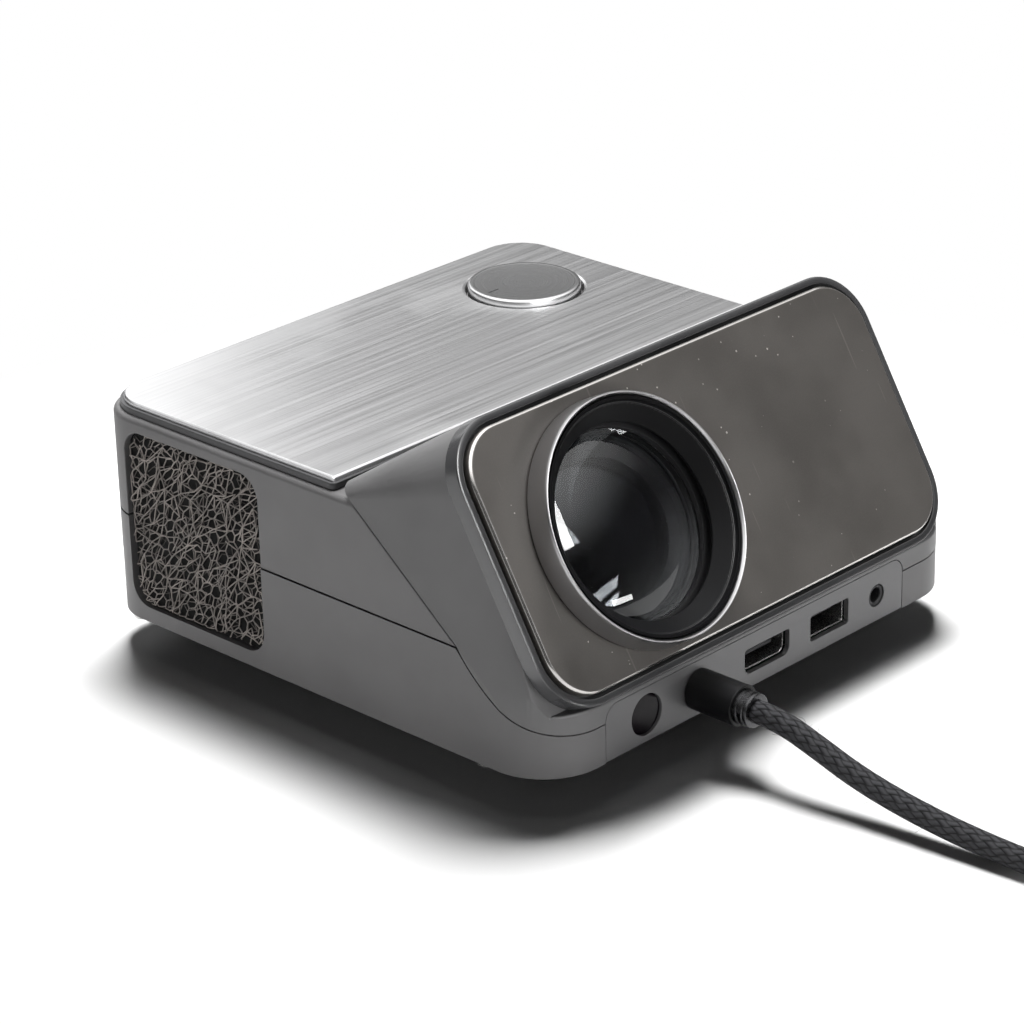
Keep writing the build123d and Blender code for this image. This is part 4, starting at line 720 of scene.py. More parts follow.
@dataclass(frozen=True)
class DustyFace:
    """The slab's warm satin coat, with dust specks, hairline marks and a painted highlight along its edge."""

    name: str = "slab_coat"
    colour: Colour = (0.084, 0.078, 0.0725)

    def material(self) -> bpy.types.Material:
        """Build the material."""
        shader = Shader(self.name)
        spot = shader.place()
        fine = shader.noise(spot, 3800.0, 2.0)
        broad = shader.noise(spot, 30.0, 4.0, 0.6)
        colour = shader.blend(shader.band(broad, 0.3, 0.7), tint(self.colour, 0.92),
                              tint(self.colour, 1.1))
        colour = shader.blend(shader.band(fine, 0.4, 0.66) * 0.10, colour, (0.17, 0.155, 0.145))
        x, y, z = shader.split(shader.place(middle=LENS.origin))
        ring = shader.band((x * x + y * y + z * z).root(), 0.046, 0.03)
        crowd = shader.band(shader.noise(spot, 55.0, 2.0), 0.42, 0.7).most(ring)
        for scale, size, share in ((300.0, 0.085, 0.14), (560.0, 0.12, 0.12)):
            near, chance = shader.cells(spot, scale)
            speck = (near < size) * (chance > 1.0 - share) * (0.3 + crowd * 0.7)
            colour = shader.blend(speck, colour, (0.5, 0.47, 0.44))
        for turn, level in ((24.0, 0.745), (-41.0, 0.752)):
            line = shader.noise(shader.place(scale=(900.0, 60.0, 16.0), turn=(0.0, turn, 0.0)), 1.0, 1.0)
            colour = shader.blend(shader.band(line, level, level + 0.02) * 0.35, colour, (0.2, 0.185, 0.17))
        # Painted highlight: a light metal colour in a thin band along the slab's chamfered edge.
        x, y, z = shader.split(shader.place(middle=FACE.origin))
        depth = z * LEAN_SIN - y * LEAN_COS
        edge = shader.band(depth, -0.00006, -0.00014) * shader.band(depth, -0.0008, -0.0006)
        colour = shader.blend(edge, colour, (0.62, 0.6, 0.58))
        rough = shader.band(broad, 0.3, 0.7, 0.36, 0.47)
        return shader.surface(Base_Color=colour, Roughness=rough + (0.22 - rough) * edge,
                              Metallic=0.25 + edge * 0.75, Normal=shader.bump(fine, 0.14, 0.00004))


@dataclass(frozen=True)
class ClearGlass:
    """Coated optical glass."""

    name: str = "coated_glass"
    colour: Colour = (0.72, 0.74, 0.76)
    ior: float = 1.52

    def material(self) -> bpy.types.Material:
        """Build the material."""
        shader = Shader(self.name)
        dust, chance = shader.cells(shader.place(), 700.0)
        speck = (dust < 0.05) * (chance > 0.97)
        return shader.surface(Base_Color=shader.blend(speck, self.colour, (0.3, 0.3, 0.3)),
                              Roughness=0.01 + speck * 0.6, IOR=self.ior, Transmission_Weight=1.0)


@dataclass(frozen=True)
class WovenBraid:
    """The lead's woven sleeve, on a UV map that goes once round and in metres along."""

    name: str = "black_braid"
    colour: Colour = (0.012, 0.012, 0.013)
    carriers: float = 10.0
    pitch: float = 0.0021

    def material(self) -> bpy.types.Material:
        """Build the material."""
        shader = Shader(self.name)
        u, v, _ = shader.split(shader.node("ShaderNodeUVMap", {"uv_map": "UVMap"}))
        turns = u * self.carriers
        run = v / self.pitch
        first, second = turns + run * 0.5, turns - run * 0.5
        lift_one = abs((first * math.pi).sine())
        lift_two = abs((second * math.pi).sine())
        parity = (first.whole() + second.whole()) * 0.5
        over = (parity - parity.whole()) * 2.0
        height = lift_one * over + lift_two * (1.0 - over)
        fuzz = shader.noise(shader.place(), 2600.0, 3.0)
        # Painted shade in the weave's hollows and a painted highlight on its crowns, mixed with random fuzz
        # tone.
        weave_shade_and_tone = shader.band(height * 0.8 + fuzz * 0.3, 0.25, 1.0)
        colour = shader.blend(weave_shade_and_tone, tint(self.colour, 0.3), tint(self.colour, 3.2))
        return shader.surface(Base_Color=colour, Roughness=0.62, Specular_IOR_Level=0.25,
                              Normal=shader.bump(height + fuzz * 0.25, 0.8, 0.0003))


@dataclass(frozen=True)
class GlossBlack:
    """Polished dark plastic or lacquer with faint smears."""

    name: str
    colour: Colour = (0.006, 0.006, 0.007)
    roughness: float = 0.12
    ripple: float = 0.03
    shine: float = 0.5
    haze: float = 0.1

    def material(self) -> bpy.types.Material:
        """Build the material."""
        shader = Shader(self.name)
        smear = shader.noise(shader.place(), 120.0, 4.0)
        fine = shader.noise(shader.place(), 2500.0, 1.0)
        return shader.surface(
            Base_Color=shader.blend(shader.band(smear, 0.4, 0.7), self.colour, tint(self.colour, 1.6)),
            Roughness=shader.band(smear, 0.3, 0.7, self.roughness, self.roughness + self.haze),
            Normal=shader.bump(fine, self.ripple, 0.00002), Specular_IOR_Level=self.shine)


@dataclass(frozen=True)
class PrintedBoard:
    """A green circuit board with tracks and solder."""

    name: str = "green_board"

    def material(self) -> bpy.types.Material:
        """Build the material."""
        shader = Shader(self.name)
        spot = shader.place()
        near, chance = shader.cells(spot, 620.0)
        track = shader.band(shader.noise(shader.place(scale=(900.0, 160.0, 400.0)), 1.0, 1.0), 0.5, 0.56)
        colour = shader.blend(track, (0.008, 0.075, 0.028), (0.02, 0.15, 0.055))
        solder = (near < 0.22) * (chance > 0.7)
        colour = shader.blend(solder, colour, (0.55, 0.55, 0.53))
        return shader.surface(Base_Color=colour, Roughness=0.38 - solder * 0.1, Metallic=solder,
                              Normal=shader.bump(near, 0.1, 0.0001))


@dataclass(frozen=True)
class TangledWire:
    """Dull taupe wire with painted shade that turns it darker towards the back of the pad."""

    name: str = "knitted_wire"
    colour: Colour = (0.245, 0.222, 0.205)

    def material(self) -> bpy.types.Material:
        """Build the material."""
        shader = Shader(self.name)
        spot = shader.place()
        # Painted shade: the colour darkens with depth into the pad, towards its back.
        depth = shader.band(abs(shader.split(spot)[0]), 0.0731, 0.0741, 0.85, 0.0)
        patch = shader.band(shader.noise(spot, 160.0, 3.0), 0.35, 0.65)
        colour = shader.blend(patch, tint(self.colour, 0.75), tint(self.colour, 1.25))
        colour = shader.blend(depth, colour, tint(self.colour, 0.1))
        return shader.surface(Base_Color=colour, Metallic=0.2,
                              Roughness=shader.band(patch, 0.0, 1.0, 0.5, 0.62),
                              Normal=shader.bump(shader.noise(spot, 3000.0, 2.0), 0.2, 0.00004))


class Palette:
    """All finishes, each built once."""

    def __init__(self) -> None:
        """Name the finishes."""
        self.finishes = {
            "shell": MouldedPlastic("satin_grey_shell", (0.113, 0.111, 0.112), 0.46, 0.1, 0.012),
            "hood": MouldedPlastic("satin_grey_hood", (0.114, 0.113, 0.114), 0.42, 0.1, 0.014),
            "pan": MouldedPlastic("dark_pan", (0.022, 0.022, 0.024), 0.5, 0.2),
            "rim": MouldedPlastic("dark_rim", (0.05, 0.05, 0.052), 0.2, 0.06, shine=0.9),
            "slab": DustyFace(),
            "step": MouldedPlastic("dark_step", (0.04, 0.04, 0.042), 0.36, 0.08),
            "deck": WorkedMetal("brushed_deck", (0.72, 0.72, 0.725), 0.36,
                                Grain.ALONG_X, contrast=0.11, smudge=0.5),
            "dial": WorkedMetal("turned_dial", (0.64, 0.64, 0.645), 0.3,
                                Grain.ROUND, (45.8, 47.445, 0.0), 0.1),
            "ring": WorkedMetal("blasted_ring", (0.48, 0.475, 0.48), 0.3,
                                Grain.NONE, contrast=0.02, relief=0.0),
            "strip": WorkedMetal("strip_coat", (0.125, 0.124, 0.126), 0.42,
                                Grain.NONE, contrast=0.05, metallic=0.3),
            "cone": MouldedPlastic("black_cone", (0.004, 0.004, 0.0045), 0.4, 0.03, shine=0.1),
            # The ridges are the cone's plastic with a lighter colour, a painted highlight; their gloss is
            # real.
            "ridge": MouldedPlastic("ridge_gloss_and_highlight", (0.012, 0.012, 0.0125), 0.24, 0.0, shine=0.9),
            "inner": MouldedPlastic("black_inner", (0.012, 0.012, 0.013), 0.5, 0.2),
            "window": GlossBlack("infrared_window", (0.003, 0.002, 0.003), 0.06, shine=0.12),
            "rubber": MouldedPlastic("foot_rubber", (0.02, 0.02, 0.02), 0.8, 0.5),
            "glass": ClearGlass(),
            # Second glass: near black as painted shade for the dark barrel behind it; its gloss is real.
            "shaded_glass": GlossBlack("glass_with_painted_shade", (0.004, 0.004, 0.005), 0.03, 0.0, haze=0.0),
            "panel": GlossBlack("panel_glass", (0.02, 0.024, 0.035), 0.05),
            "steel": WorkedMetal("bright_steel", (0.56, 0.555, 0.55), 0.28),
            "socket": WorkedMetal("nickel_socket", (0.42, 0.415, 0.41), 0.26),
            "copper": WorkedMetal("heat_pipe_copper", (0.72, 0.34, 0.2), 0.3),
            "aluminium": WorkedMetal("cut_aluminium", (0.66, 0.66, 0.67), 0.38, Grain.ALONG_Z),
            "drive": WorkedMetal("folded_steel", (0.5, 0.5, 0.51), 0.4,
                                Grain.ALONG_X, contrast=0.06, smudge=0.3),
            "board": PrintedBoard(),
            "wire": TangledWire(),
            # A near-black sheet behind the wire pads: painted shade for the inside of the body.
            "painted_shade_sheet": MouldedPlastic("pad_painted_shade", (0.004, 0.004, 0.004), 0.9, 0.2),
            "plug": MouldedPlastic("plug_rubber", (0.004, 0.004, 0.0045), 0.45, 0.3, 0.01, shine=0.2),
            "collar": WorkedMetal("dark_collar", (0.08, 0.08, 0.083), 0.28, Grain.NONE, contrast=0.08),
            "braid": WovenBraid(),
            "fibre": MouldedPlastic("loose_fibre", (0.03, 0.03, 0.03), 0.7, 0.1),
            "tray": MouldedPlastic("tray_black", (0.02, 0.02, 0.022), 0.45, 0.15),
            "speaker": MouldedPlastic("speaker_black", (0.01, 0.01, 0.01), 0.6, 0.2),
        }
        self.made: dict[str, bpy.types.Material] = {}

    def __getitem__(self, name: str) -> bpy.types.Material:
        """Give a finish's material, built at its first use."""
        if name not in self.made:
            self.made[name] = self.finishes[name].material()
        return self.made[name]


@dataclass
class Assembly:
    """A sub-assembly, which dresses its pieces from one palette."""

    palette: Palette

    def dress(self, piece: bpy.types.Object, finish: str | None, slot: str, *nodes: str,
              body: str = "casing") -> bpy.types.Object:
        """Dress a piece, put it on its body and hide the nodes that it stands for.

        Args:
            piece: The piece.
            finish: Its finish's name, or None where it has its material already.
            slot: A material slot's name; it is not used.
            nodes: Nodes that it replaces.
            body: The body that it rides on.

        Returns:
            The piece.
        """
        if finish is not None:
            piece.data.materials.clear()
            piece.data.materials.append(self.palette[finish])
        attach(piece, body)
        if nodes:
            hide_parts(*nodes)
        LOG.info("piece %s rides on %s", piece.name, body)
        return piece


# ---- lead ----------------------------------------------------------------------------------------
@dataclass
class Lead(Assembly):
    """The plug in the strip and its woven lead, which runs off to the right and is coiled out of sight."""

    radius: float = 2.8
    length: float = 1.28
    exit: Point3 = (-24.7, -90.355, 16.0)
    first_turn: Point3 = (-21.0, -190.0, 2.85)
    turn_radii: tuple[float, ...] = (36.0, 32.85, 29.7, 26.55, 23.4)
    climb_radius: float = 20.25
    outward_radii: tuple[float, ...] = (23.4, 26.55, 29.7, 32.85, 36.0, 39.15)
    layer: float = 6.3
    points_per_half: int = 8
    run: tuple[Point3, ...] = (
        (-24.7, -90.355, 16.0), (-24.7, -97.4, 16.0), (-24.6, -107.6, 13.0), (-24.2, -119.5, 8.9),
        (-23.7, -134.0, 6.0), (-22.9, -149.5, 4.1), (-21.7, -165.5, 3.05), (-21.0, -176.0, 2.85),
        (-21.0, -184.4, 2.85))
    tail: tuple[Point3, ...] = (
        (-21.0, -195.6, 9.15), (-21.0, -207.6, 9.15), (-22.5, -221.6, 6.75), (-23.0, -235.6, 4.35),
        (-23.0, -247.6, 4.35))

    def coil_points(self) -> list[Point3]:
        """List the coil's control points: half turns that spiral in, climb one layer and spiral out."""
        x, y, z = self.first_turn
        points: list[Point3] = []
        side, heading = 1.0, -1.0
        halves = [(r, 0.0) for r in self.turn_radii] + [(self.climb_radius, self.layer)]
        halves += [(r, 0.0) for r in self.outward_radii]
        swell = 1.0 / (0.75 + 0.25 * math.cos(math.pi / self.points_per_half))
        for radius, rise in halves:
            middle = x + side * radius
            for step in range(self.points_per_half):
                angle = math.pi * (step + 0.5) / self.points_per_half
                points.append((middle - side * radius * swell * math.cos(angle),
                               y + heading * radius * swell * math.sin(angle),
                               z + rise * (step + 0.5) / self.points_per_half))
            x, z, side, heading = x + 2 * side * radius, z + rise, -side, -heading
        return points

    def route(self) -> list[Vector]:
        """Read the lead's line, in metres, from one NURBS spline."""
        data = bpy.data.curves.new("lead_line", "CURVE")
        data.dimensions = "3D"
        data.resolution_u = 8
        spline = data.splines.new("NURBS")
        corners = [*self.run, *self.coil_points(), *self.tail]
        spline.points.add(len(corners) - 1)
        for point, corner in zip(spline.points, corners):
            point.co = (*metres(corner), 1.0)
        spline.order_u = 3
        spline.use_endpoint_u = True
        line = new_object("lead_line", data)
        bpy.context.view_layer.update()
        graph = bpy.context.evaluated_depsgraph_get()
        mesh = bpy.data.meshes.new_from_object(line.evaluated_get(graph))
        spots = [vert.co.copy() for vert in mesh.vertices]
        bpy.data.objects.remove(line)
        return spots

    def fibres(self, sleeve: bpy.types.Object) -> bpy.types.Object:
        """Scatter a few loose fibres on the part of the sleeve near the plug."""
        tree = Pattern("loose_fibres", {
            "Density": 26000.0, "Length": 3.4 * MM, "Thickness": 0.045 * MM, "Seed": 7})
        points = tree.node("GeometryNodeDistributePointsOnFaces", None, {
            "Mesh": tree.given("Geometry"), "Density": tree.given("Density"),
                "Seed": tree.given("Seed")}, "Points")
        reach = tree.given("Length")
        arc = tree.node("GeometryNodeCurveQuadraticBezier", None, {
            "Resolution": 6, "Start": (0.0, 0.0, 0.0), "Middle": tree.vector(reach * 0.1, 0.0, reach * 0.5),
            "End": tree.vector(reach * 0.8, 0.0, reach * 0.55)})
        section = tree.node("GeometryNodeCurvePrimitiveCircle", None, {
            "Resolution": 4, "Radius": tree.given("Thickness")})
        strand = tree.node("GeometryNodeCurveToMesh", None, {
            "Curve": arc, "Profile Curve": section, "Fill Caps": True})
        spin = tree.node("FunctionNodeRandomValue", {"data_type": "FLOAT_VECTOR"},
                         {0: (-0.7, -0.7, 0.0), 1: (0.7, 0.7, 6.28), "Seed": 3})
        turned_by = tree.node("FunctionNodeRotateRotation", {"rotation_space": "LOCAL"}, {
            "Rotation": points.beside("Rotation"),
                "Rotate By": tree.node("FunctionNodeEulerToRotation", None, {0: spin})})
        size = tree.node("FunctionNodeRandomValue", {"data_type": "FLOAT"}, {2: 0.35, 3: 1.0, "Seed": 5}, 1)
        placed = tree.node("GeometryNodeInstanceOnPoints", None, {
            "Points": points, "Instance": strand, "Rotation": turned_by, "Scale": size})
        tree.end(placed, self.palette["fibre"])
        near = bmesh.new()
        near.from_mesh(sleeve.data)
        far = [vert for vert in near.verts if vert.co.y < -0.150 or vert.co.z < 0.0045]
        bmesh.ops.delete(near, geom=far, context="VERTS")
        mesh = bpy.data.meshes.new("fibre_start")
        near.to_mesh(mesh)
        near.free()
        return tree.piece("lead_fibres", mesh)

    def build(self) -> None:
        path = self.route()
        sleeve = tube("lead", path, self.radius * MM)
        sleeve.data.shade_smooth()
        self.dress(sleeve, "braid", "lead_braid", "cord_run", "cord_coil", "cord_tail")
        plug_place = FRONT.moved_to((self.exit[0], FRONT_Y, self.exit[2]))
        side = softened([(2.7, -9.0), (2.7, 0.05), (5.0, 0.05), (5.0, 13.7), (4.25, 13.7)], 0.5, False, 4)
        grip = turned("plug_grip", plug_place, [(0, -9.0), *side, (4.2, 13.3), (0, 13.3)], False, 64)
        self.dress(grip, "plug", "plug_black", "dc_plug")
        ridge = [(3.9, 13.4), (4.15, 13.5), (4.15, 14.6), (3.85, 14.8), (3.85, 15.1), (4.2, 15.3),
                 (4.2, 16.3), (3.9, 16.5), (3.9, 16.8), (4.15, 17.0), (4.1, 17.5), (3.7, 17.7)]
        collar = turned("lead_collar", plug_place, [(0, 13.4), *ridge, (0, 17.7)], False, 64)
        self.dress(collar, "collar", "collar_steel", "plug_collar")
        far = self.far_plug()
        fibres = self.dress(self.fibres(sleeve), None, "lead_braid")
        metres(self.exit)

    def far_plug(self) -> bpy.types.Object:
        """Make the plug on the lead's other end."""
        place = FRONT.moved_to(self.tail[-1])
        body = plate("far_plug_body", place, rounded_outline(17.0, 8.6, (2.0,) * 4),
                     [(1.2, 0.0), (0.3, 0.25), (0.0, 1.2), (0.0, 25.8), (0.3, 26.75), (1.2, 27.0)])
        self.dress(body, "plug", "plug_black", "far_plug")
        shell = plate("far_plug_shell", place, rounded_outline(12.0, 4.5, (0.6,) * 4),
                      [(0.0, 26.5), (0.0, 43.2), (0.2, 43.5)],
                      [(rounded_outline(11.0, 3.5, (0.3,) * 4), [(0.0, 26.5), (0.0, 43.3), (-0.1, 43.5)])])
        self.dress(shell, "socket", "plug_black")
        return body


# ---- body ----------------------------------------------------------------------------------------
@dataclass
class Shells(Assembly):
    """The lower and upper shells, the hood and the pan, with thin open seams between them."""

    seam: float = 0.2
    edge: float = 0.3
    crease_top: Point2 = (-8.555, 65.4)
    crease_low: Point2 = (-44.755, 36.1)
    crease_middle: Point2 = (-58.055, 24.4)
    crease_front: Point2 = (-72.655, 19.0)
    reach: float = 0.06
    arc: tuple[Vector, float] = field(init=False)

    def __post_init__(self) -> None:
        """Work out the circle of the crease's lower end."""
        (ax, ay), (bx, by), (cx, cy) = self.crease_low, self.crease_middle, self.crease_front
        scale = 2 * (ax * (by - cy) + bx * (cy - ay) + cx * (ay - by))
        squares = (ax * ax + ay * ay, bx * bx + by * by, cx * cx + cy * cy)
        centre = Vector((
            (squares[0] * (by - cy) + squares[1] * (cy - ay) + squares[2] * (ay - by)) / scale,
            (squares[0] * (cx - bx) + squares[1] * (ax - cx) + squares[2] * (bx - ax)) / scale))
        self.arc = (centre, (centre - Vector(self.crease_low)).length)

    def on_seam(self, face: bmesh.types.BMFace) -> bool:
        """Tell whether a face lies on the parting plane or along the hood's crease."""
        middle = face.calc_center_median() / MM
        if abs(middle.z - PARTING_Z) < 0.02 and abs(face.normal.z) > 0.99:
            return True
        if abs(face.normal.x) > 0.05:
            return False
        spot = Vector((middle.y, middle.z))
        top, low = Vector(self.crease_top), Vector(self.crease_low)
        run = (top - low).normalized()
        along = (spot - low).dot(run)
        if -0.1 < along < (top - low).length + 0.1:
            return abs((spot - low).dot(Vector((-run.y, run.x)))) < self.reach
        centre, radius = self.arc
        return spot.y < self.crease_low[1] and abs((spot - centre).length - radius) < self.reach

    def open_seams(self, mesh: bmesh.types.BMesh) -> None:
        """Draw the faces that meet another shell back by half a seam."""
        mesh.normal_update()
        shifts: dict[bmesh.types.BMVert, list[Vector]] = {}
        for face in mesh.faces:
            if not self.on_seam(face):
                continue
            for vert in face.verts:
                known = shifts.setdefault(vert, [])
                if all((normal - face.normal).length > 0.2 for normal in known):
                    known.append(face.normal.copy())
        for vert, normals in shifts.items():
            for normal in normals:
                vert.co -= normal * self.seam * MM

    def build(self) -> None:
        """Make the four pieces."""
        for node, name, finish, slot in (
                ("lower_shell", "lower_case", "shell", "shell_plastic"),
                ("upper_shell", "upper_case", "shell", "shell_plastic"),
                ("front_hood", "hood_case", "hood", "shell_plastic")):
            mesh = node_copy(node, name)
            self.open_seams(mesh)
            piece = polished(mesh_object(name, mesh, False), self.edge, 2, 35.0)
            self.dress(piece, finish, slot, node)
        pan = polished(mesh_object("pan_case", node_copy("base_pan", "pan_case"), False), 0.25, 2, 35.0)
        self.dress(pan, "pan", "pan_plastic", "base_pan")


@dataclass
class Feet(Assembly):
    """The four rubber feet under the pan."""

    places: tuple[Point2, ...] = ((-54.0, -51.655), (-54.0, 56.745), (54.0, -51.655), (54.0, 56.745))
    radius: float = 6.0
    height: float = 2.2

    def build(self) -> None:
        """Make the feet as one piece, each turned with a rounded edge and a shallow dish."""
        whole = bmesh.new()
        for x, y in self.places:
            one = turned("foot", FLAT.moved_to((x, y, 0.0)), [
                (0, 0.25), (4.6, 0.25), (4.9, 0.0), (self.radius - 0.5, 0.0), (self.radius, 0.5),
                (self.radius, self.height), (0, self.height)], False, 48)
            whole.from_mesh(one.data)
            bpy.data.objects.remove(one)
        piece = polished(mesh_object("foot_pads", whole))
        self.dress(piece, "rubber", "foot_rubber", "feet")


@dataclass
class Deck(Assembly):
    """The brushed deck on its dark step, and the dial."""

    width: float = 145.0
    length: float = 79.6
    corner: float = 11.0
    middle_y: float = 35.445
    shoulder_z: float = 62.6
    step_z: float = 64.2
    top_z: float = 65.4
    dial: Point2 = (45.8, 47.445)
    dial_r: float = 14.65
    gap: float = 0.75

    def build(self) -> None:
        """Make the step, the sheet, the dial and its mark."""
        hole = round_outline(self.dial_r + self.gap, self.dial, 96)
        outline = rounded_outline(self.width, self.length, (0.6, self.corner, self.corner, 0.6),
                                  (0.0, self.middle_y))
        low, mid, top = self.shoulder_z, self.step_z, self.top_z
        step = plate("deck_step", FLAT, outline,
                     [(-1.0, low), (-1.0, mid - 0.35), (-0.9, mid - 0.1), (-0.65, mid)],
                     [(hole, [(0.0, low), (0.0, mid)])])
        self.dress(step, "step", "carrier_plastic", "deck_carrier")
        sheet = plate("deck_sheet", FLAT, outline,
                      [(0.0, mid), (0.0, top - 0.5), (0.06, top - 0.38), (0.38, top - 0.06), (0.5, top)],
                      [(hole, [(0.0, mid), (0.0, top - 0.5), (-0.1, top - 0.34), (-0.6, top - 0.06),
                               (-0.75, top)])])
        self.dress(sheet, "deck", "deck_metal", "deck_plate")
        place = FLAT.moved_to((*self.dial, 0.0))
        profile = [(0, 58.4), (3.0, 58.4), (3.0, 63.4), (14.3, 63.4), (self.dial_r, 63.7),
                   (self.dial_r, 66.2), (14.45, 66.65), (14.0, 66.9), (13.3, 66.9), (13.0, 66.8), (0, 66.75)]
        cap = turned("dial_cap", place, profile, False, 144)
        self.dress(cap, "dial", "dial_metal", "dial", body="dial_body")
        mark = plate("dial_mark", FLAT, rounded_outline(3.6, 0.4, (0.15,) * 4,
                                                        (self.dial[0] - 10.1, self.dial[1] + 1.3)),
                     [(0.0, 66.6), (0.0, 66.79), (0.03, 66.81)])
        self.dress(mark, "plug", "dial_metal", body="dial_body")


@dataclass
class Slab(Assembly):
    """The leaning face: a dark rim with a dusty warm slab in it."""

    width: float = 137.25
    height: float = 64.5
    corner: float = 12.0
    margin: float = 2.8
    lens: Point2 = (-29.9, 31.7)
    hole_r: float = 28.85

    def build(self) -> None:
        """Make the rim and the slab."""
        middle = (0.0, self.height / 2)
        outline = rounded_outline(self.width, self.height, (self.corner,) * 4, middle, 14)
        hole = round_outline(self.hole_r, self.lens, 120)
        slab = plate("slab", FACE, outline,
                     [(0.0, -2.9), (0.0, -0.75), (0.1, -0.5), (0.5, -0.1), (0.75, 0.0)],
                     [(hole, [(0.0, -2.9), (0.0, -0.2), (-0.2, 0.0)])])
        self.dress(slab, "slab", "face_metal", "face_plate")
        rim = plate("slab_rim", FACE, outline, [
            (-self.margin, -5.5), (-self.margin, -1.75), (-self.margin + 0.15, -1.38),
            (-self.margin + 0.5, -1.2), (-1.3, -1.2), (-1.0, -1.3), (-0.9, -1.6), (-0.9, -2.9)],
            [(hole, [(0.0, -5.5), (0.0, -2.9)])])
        self.dress(rim, "rim", "rim_plastic", "face_rim")


@dataclass
class LensUnit(Assembly):
    """The focus ring, its grooved black cone and the glass behind it."""

    grooves: int = 12
    mouth_r: float = 23.3
    glass_r: float = 22.86

    def ring(self) -> bpy.types.Object:
        """Turn the ring, with a thin bright rim and a hub in the slab's hole."""
        profile = softened([
            (26.45, -5.1), (27.95, -5.1), (27.95, 0.4), (29.9, 0.4), (29.55, 6.2), (29.4, 6.8), (29.2, 6.98),
            (29.0, 6.85), (28.3, 5.7), (28.3, 1.4), (26.45, 1.4)], 0.16, True, 3)
        return turned("lens_ring", LENS, profile, True, 160)

    def ridges(self) -> bpy.types.Object:
        """Place the cone's fine ridges one behind the other."""
        tree = Pattern("cone_ridges", {
            "Count": self.grooves, "Mouth radius": 24.5 * MM, "Outer radius": 27.1 * MM,
            "Low": 2.75 * MM, "High": 5.25 * MM, "Ridge": 0.1 * MM})
        index = tree.node("GeometryNodeInputIndex")
        count = tree.given("Count")
        share = index / (count - 1.0)
        low_r, high_r = tree.given("Mouth radius"), tree.given("Outer radius")
        radius = low_r + (high_r - low_r) * share
        height = tree.given("Low") + (tree.given("High") - tree.given("Low")) * share
        line = tree.node("GeometryNodeMeshLine", None, {"Count": count})
        points = tree.node("GeometryNodeSetPosition", None, {
            "Geometry": line, "Position": tree.vector(0.0, 0.0, height)})
        circle = tree.node("GeometryNodeCurvePrimitiveCircle", None, {"Resolution": 120, "Radius": 1.0})
        section = tree.node("GeometryNodeCurvePrimitiveCircle", None, {
            "Resolution": 6, "Radius": tree.given("Ridge") / low_r})
        ridge = tree.node("GeometryNodeCurveToMesh", None, {"Curve": circle, "Profile Curve": section})
        rings = tree.node("GeometryNodeInstanceOnPoints", None, {
            "Points": points, "Instance": ridge, "Scale": tree.vector(radius, radius, radius)})
        whole = tree.node("GeometryNodeRealizeInstances", None, {0: rings})
        leaned = tree.node("GeometryNodeTransform", None, {
            "Geometry": whole, "Translation": metres(LENS.origin),
            "Rotation": (math.atan2(LEAN_COS, LEAN_SIN), 0.0, 0.0)})
        tree.end(leaned, self.palette["ridge"])
        made = tree.piece("cone_ridges")
        made.data.shade_smooth()
        return made

    def cone(self) -> bpy.types.Object:
        """Turn the cone's wall with its upright outer band."""
        return turned("lens_cone", LENS, softened([
            (28.2, 1.42), (self.mouth_r, 1.42), (23.2, 1.7), (23.35, 2.0), (27.25, 5.5), (27.45, 6.0),
            (27.5, 6.42), (28.2, 6.45)], 0.1, True, 2), True, 144)

    def dome(self, name: str, radius: float, low: float, back: float, rise: float,
             power: float) -> bpy.types.Object:
        """Turn a lens element: a flat back, a short edge and a domed front.

        Args:
            name: The piece's name.
            radius: Its radius.
            low: The height of its front edge.
            back: The height of its flat back.
            rise: How far the dome rises over its edge.
            power: How much steeper the dome is at its edge than in its middle.

        Returns:
            The piece.
        """
        profile = [(radius * k / 6, back) for k in range(6)] + [(radius - 0.15, back), (radius, back + 0.15)]
        for k in range(33):
            share = math.cos(math.pi / 2 * k / 32)
            profile.append((radius * share if k < 32 else 0.0, low + rise * (1 - share ** power)))
        return turned(name, LENS, profile, False, 144)

    def build(self) -> None:
        """Make the ring, the cone and its ridges, the front glass, and the second glass in its seat, coloured
        near black as painted shade.
        """
        self.dress(self.ring(), "ring", "ring_metal", "focus_ring", body="focus_ring_body")
        self.dress(self.cone(), "cone", "black_plastic", "lens_baffle", body="focus_ring_body")
        self.dress(self.ridges(), None, "black_plastic", body="focus_ring_body")
        glass = self.dome("front_glass", self.glass_r, -2.2, -2.8, 3.5, 2.6)
        self.dress(glass, "glass", "lens_glass", "front_lens", body="lens_cell")
        # The second glass is coloured near black: painted shade for the dark inside of the barrel.
        inner = self.dome("second_glass", 16.0, -8.0, -9.6, 4.6, 2.2)
        self.dress(inner, "shaded_glass", "lens_glass", body="lens_cell")
        seat = turned("glass_seat", LENS, softened([
            (15.9, -9.6), (22.8, -9.6), (22.8, -3.4), (22.3, -3.4), (21.0, -6.6), (15.9, -7.9)], 0.15,
                True, 2),
            True, 96)
        self.dress(seat, "cone", "black_plastic", body="lens_cell")


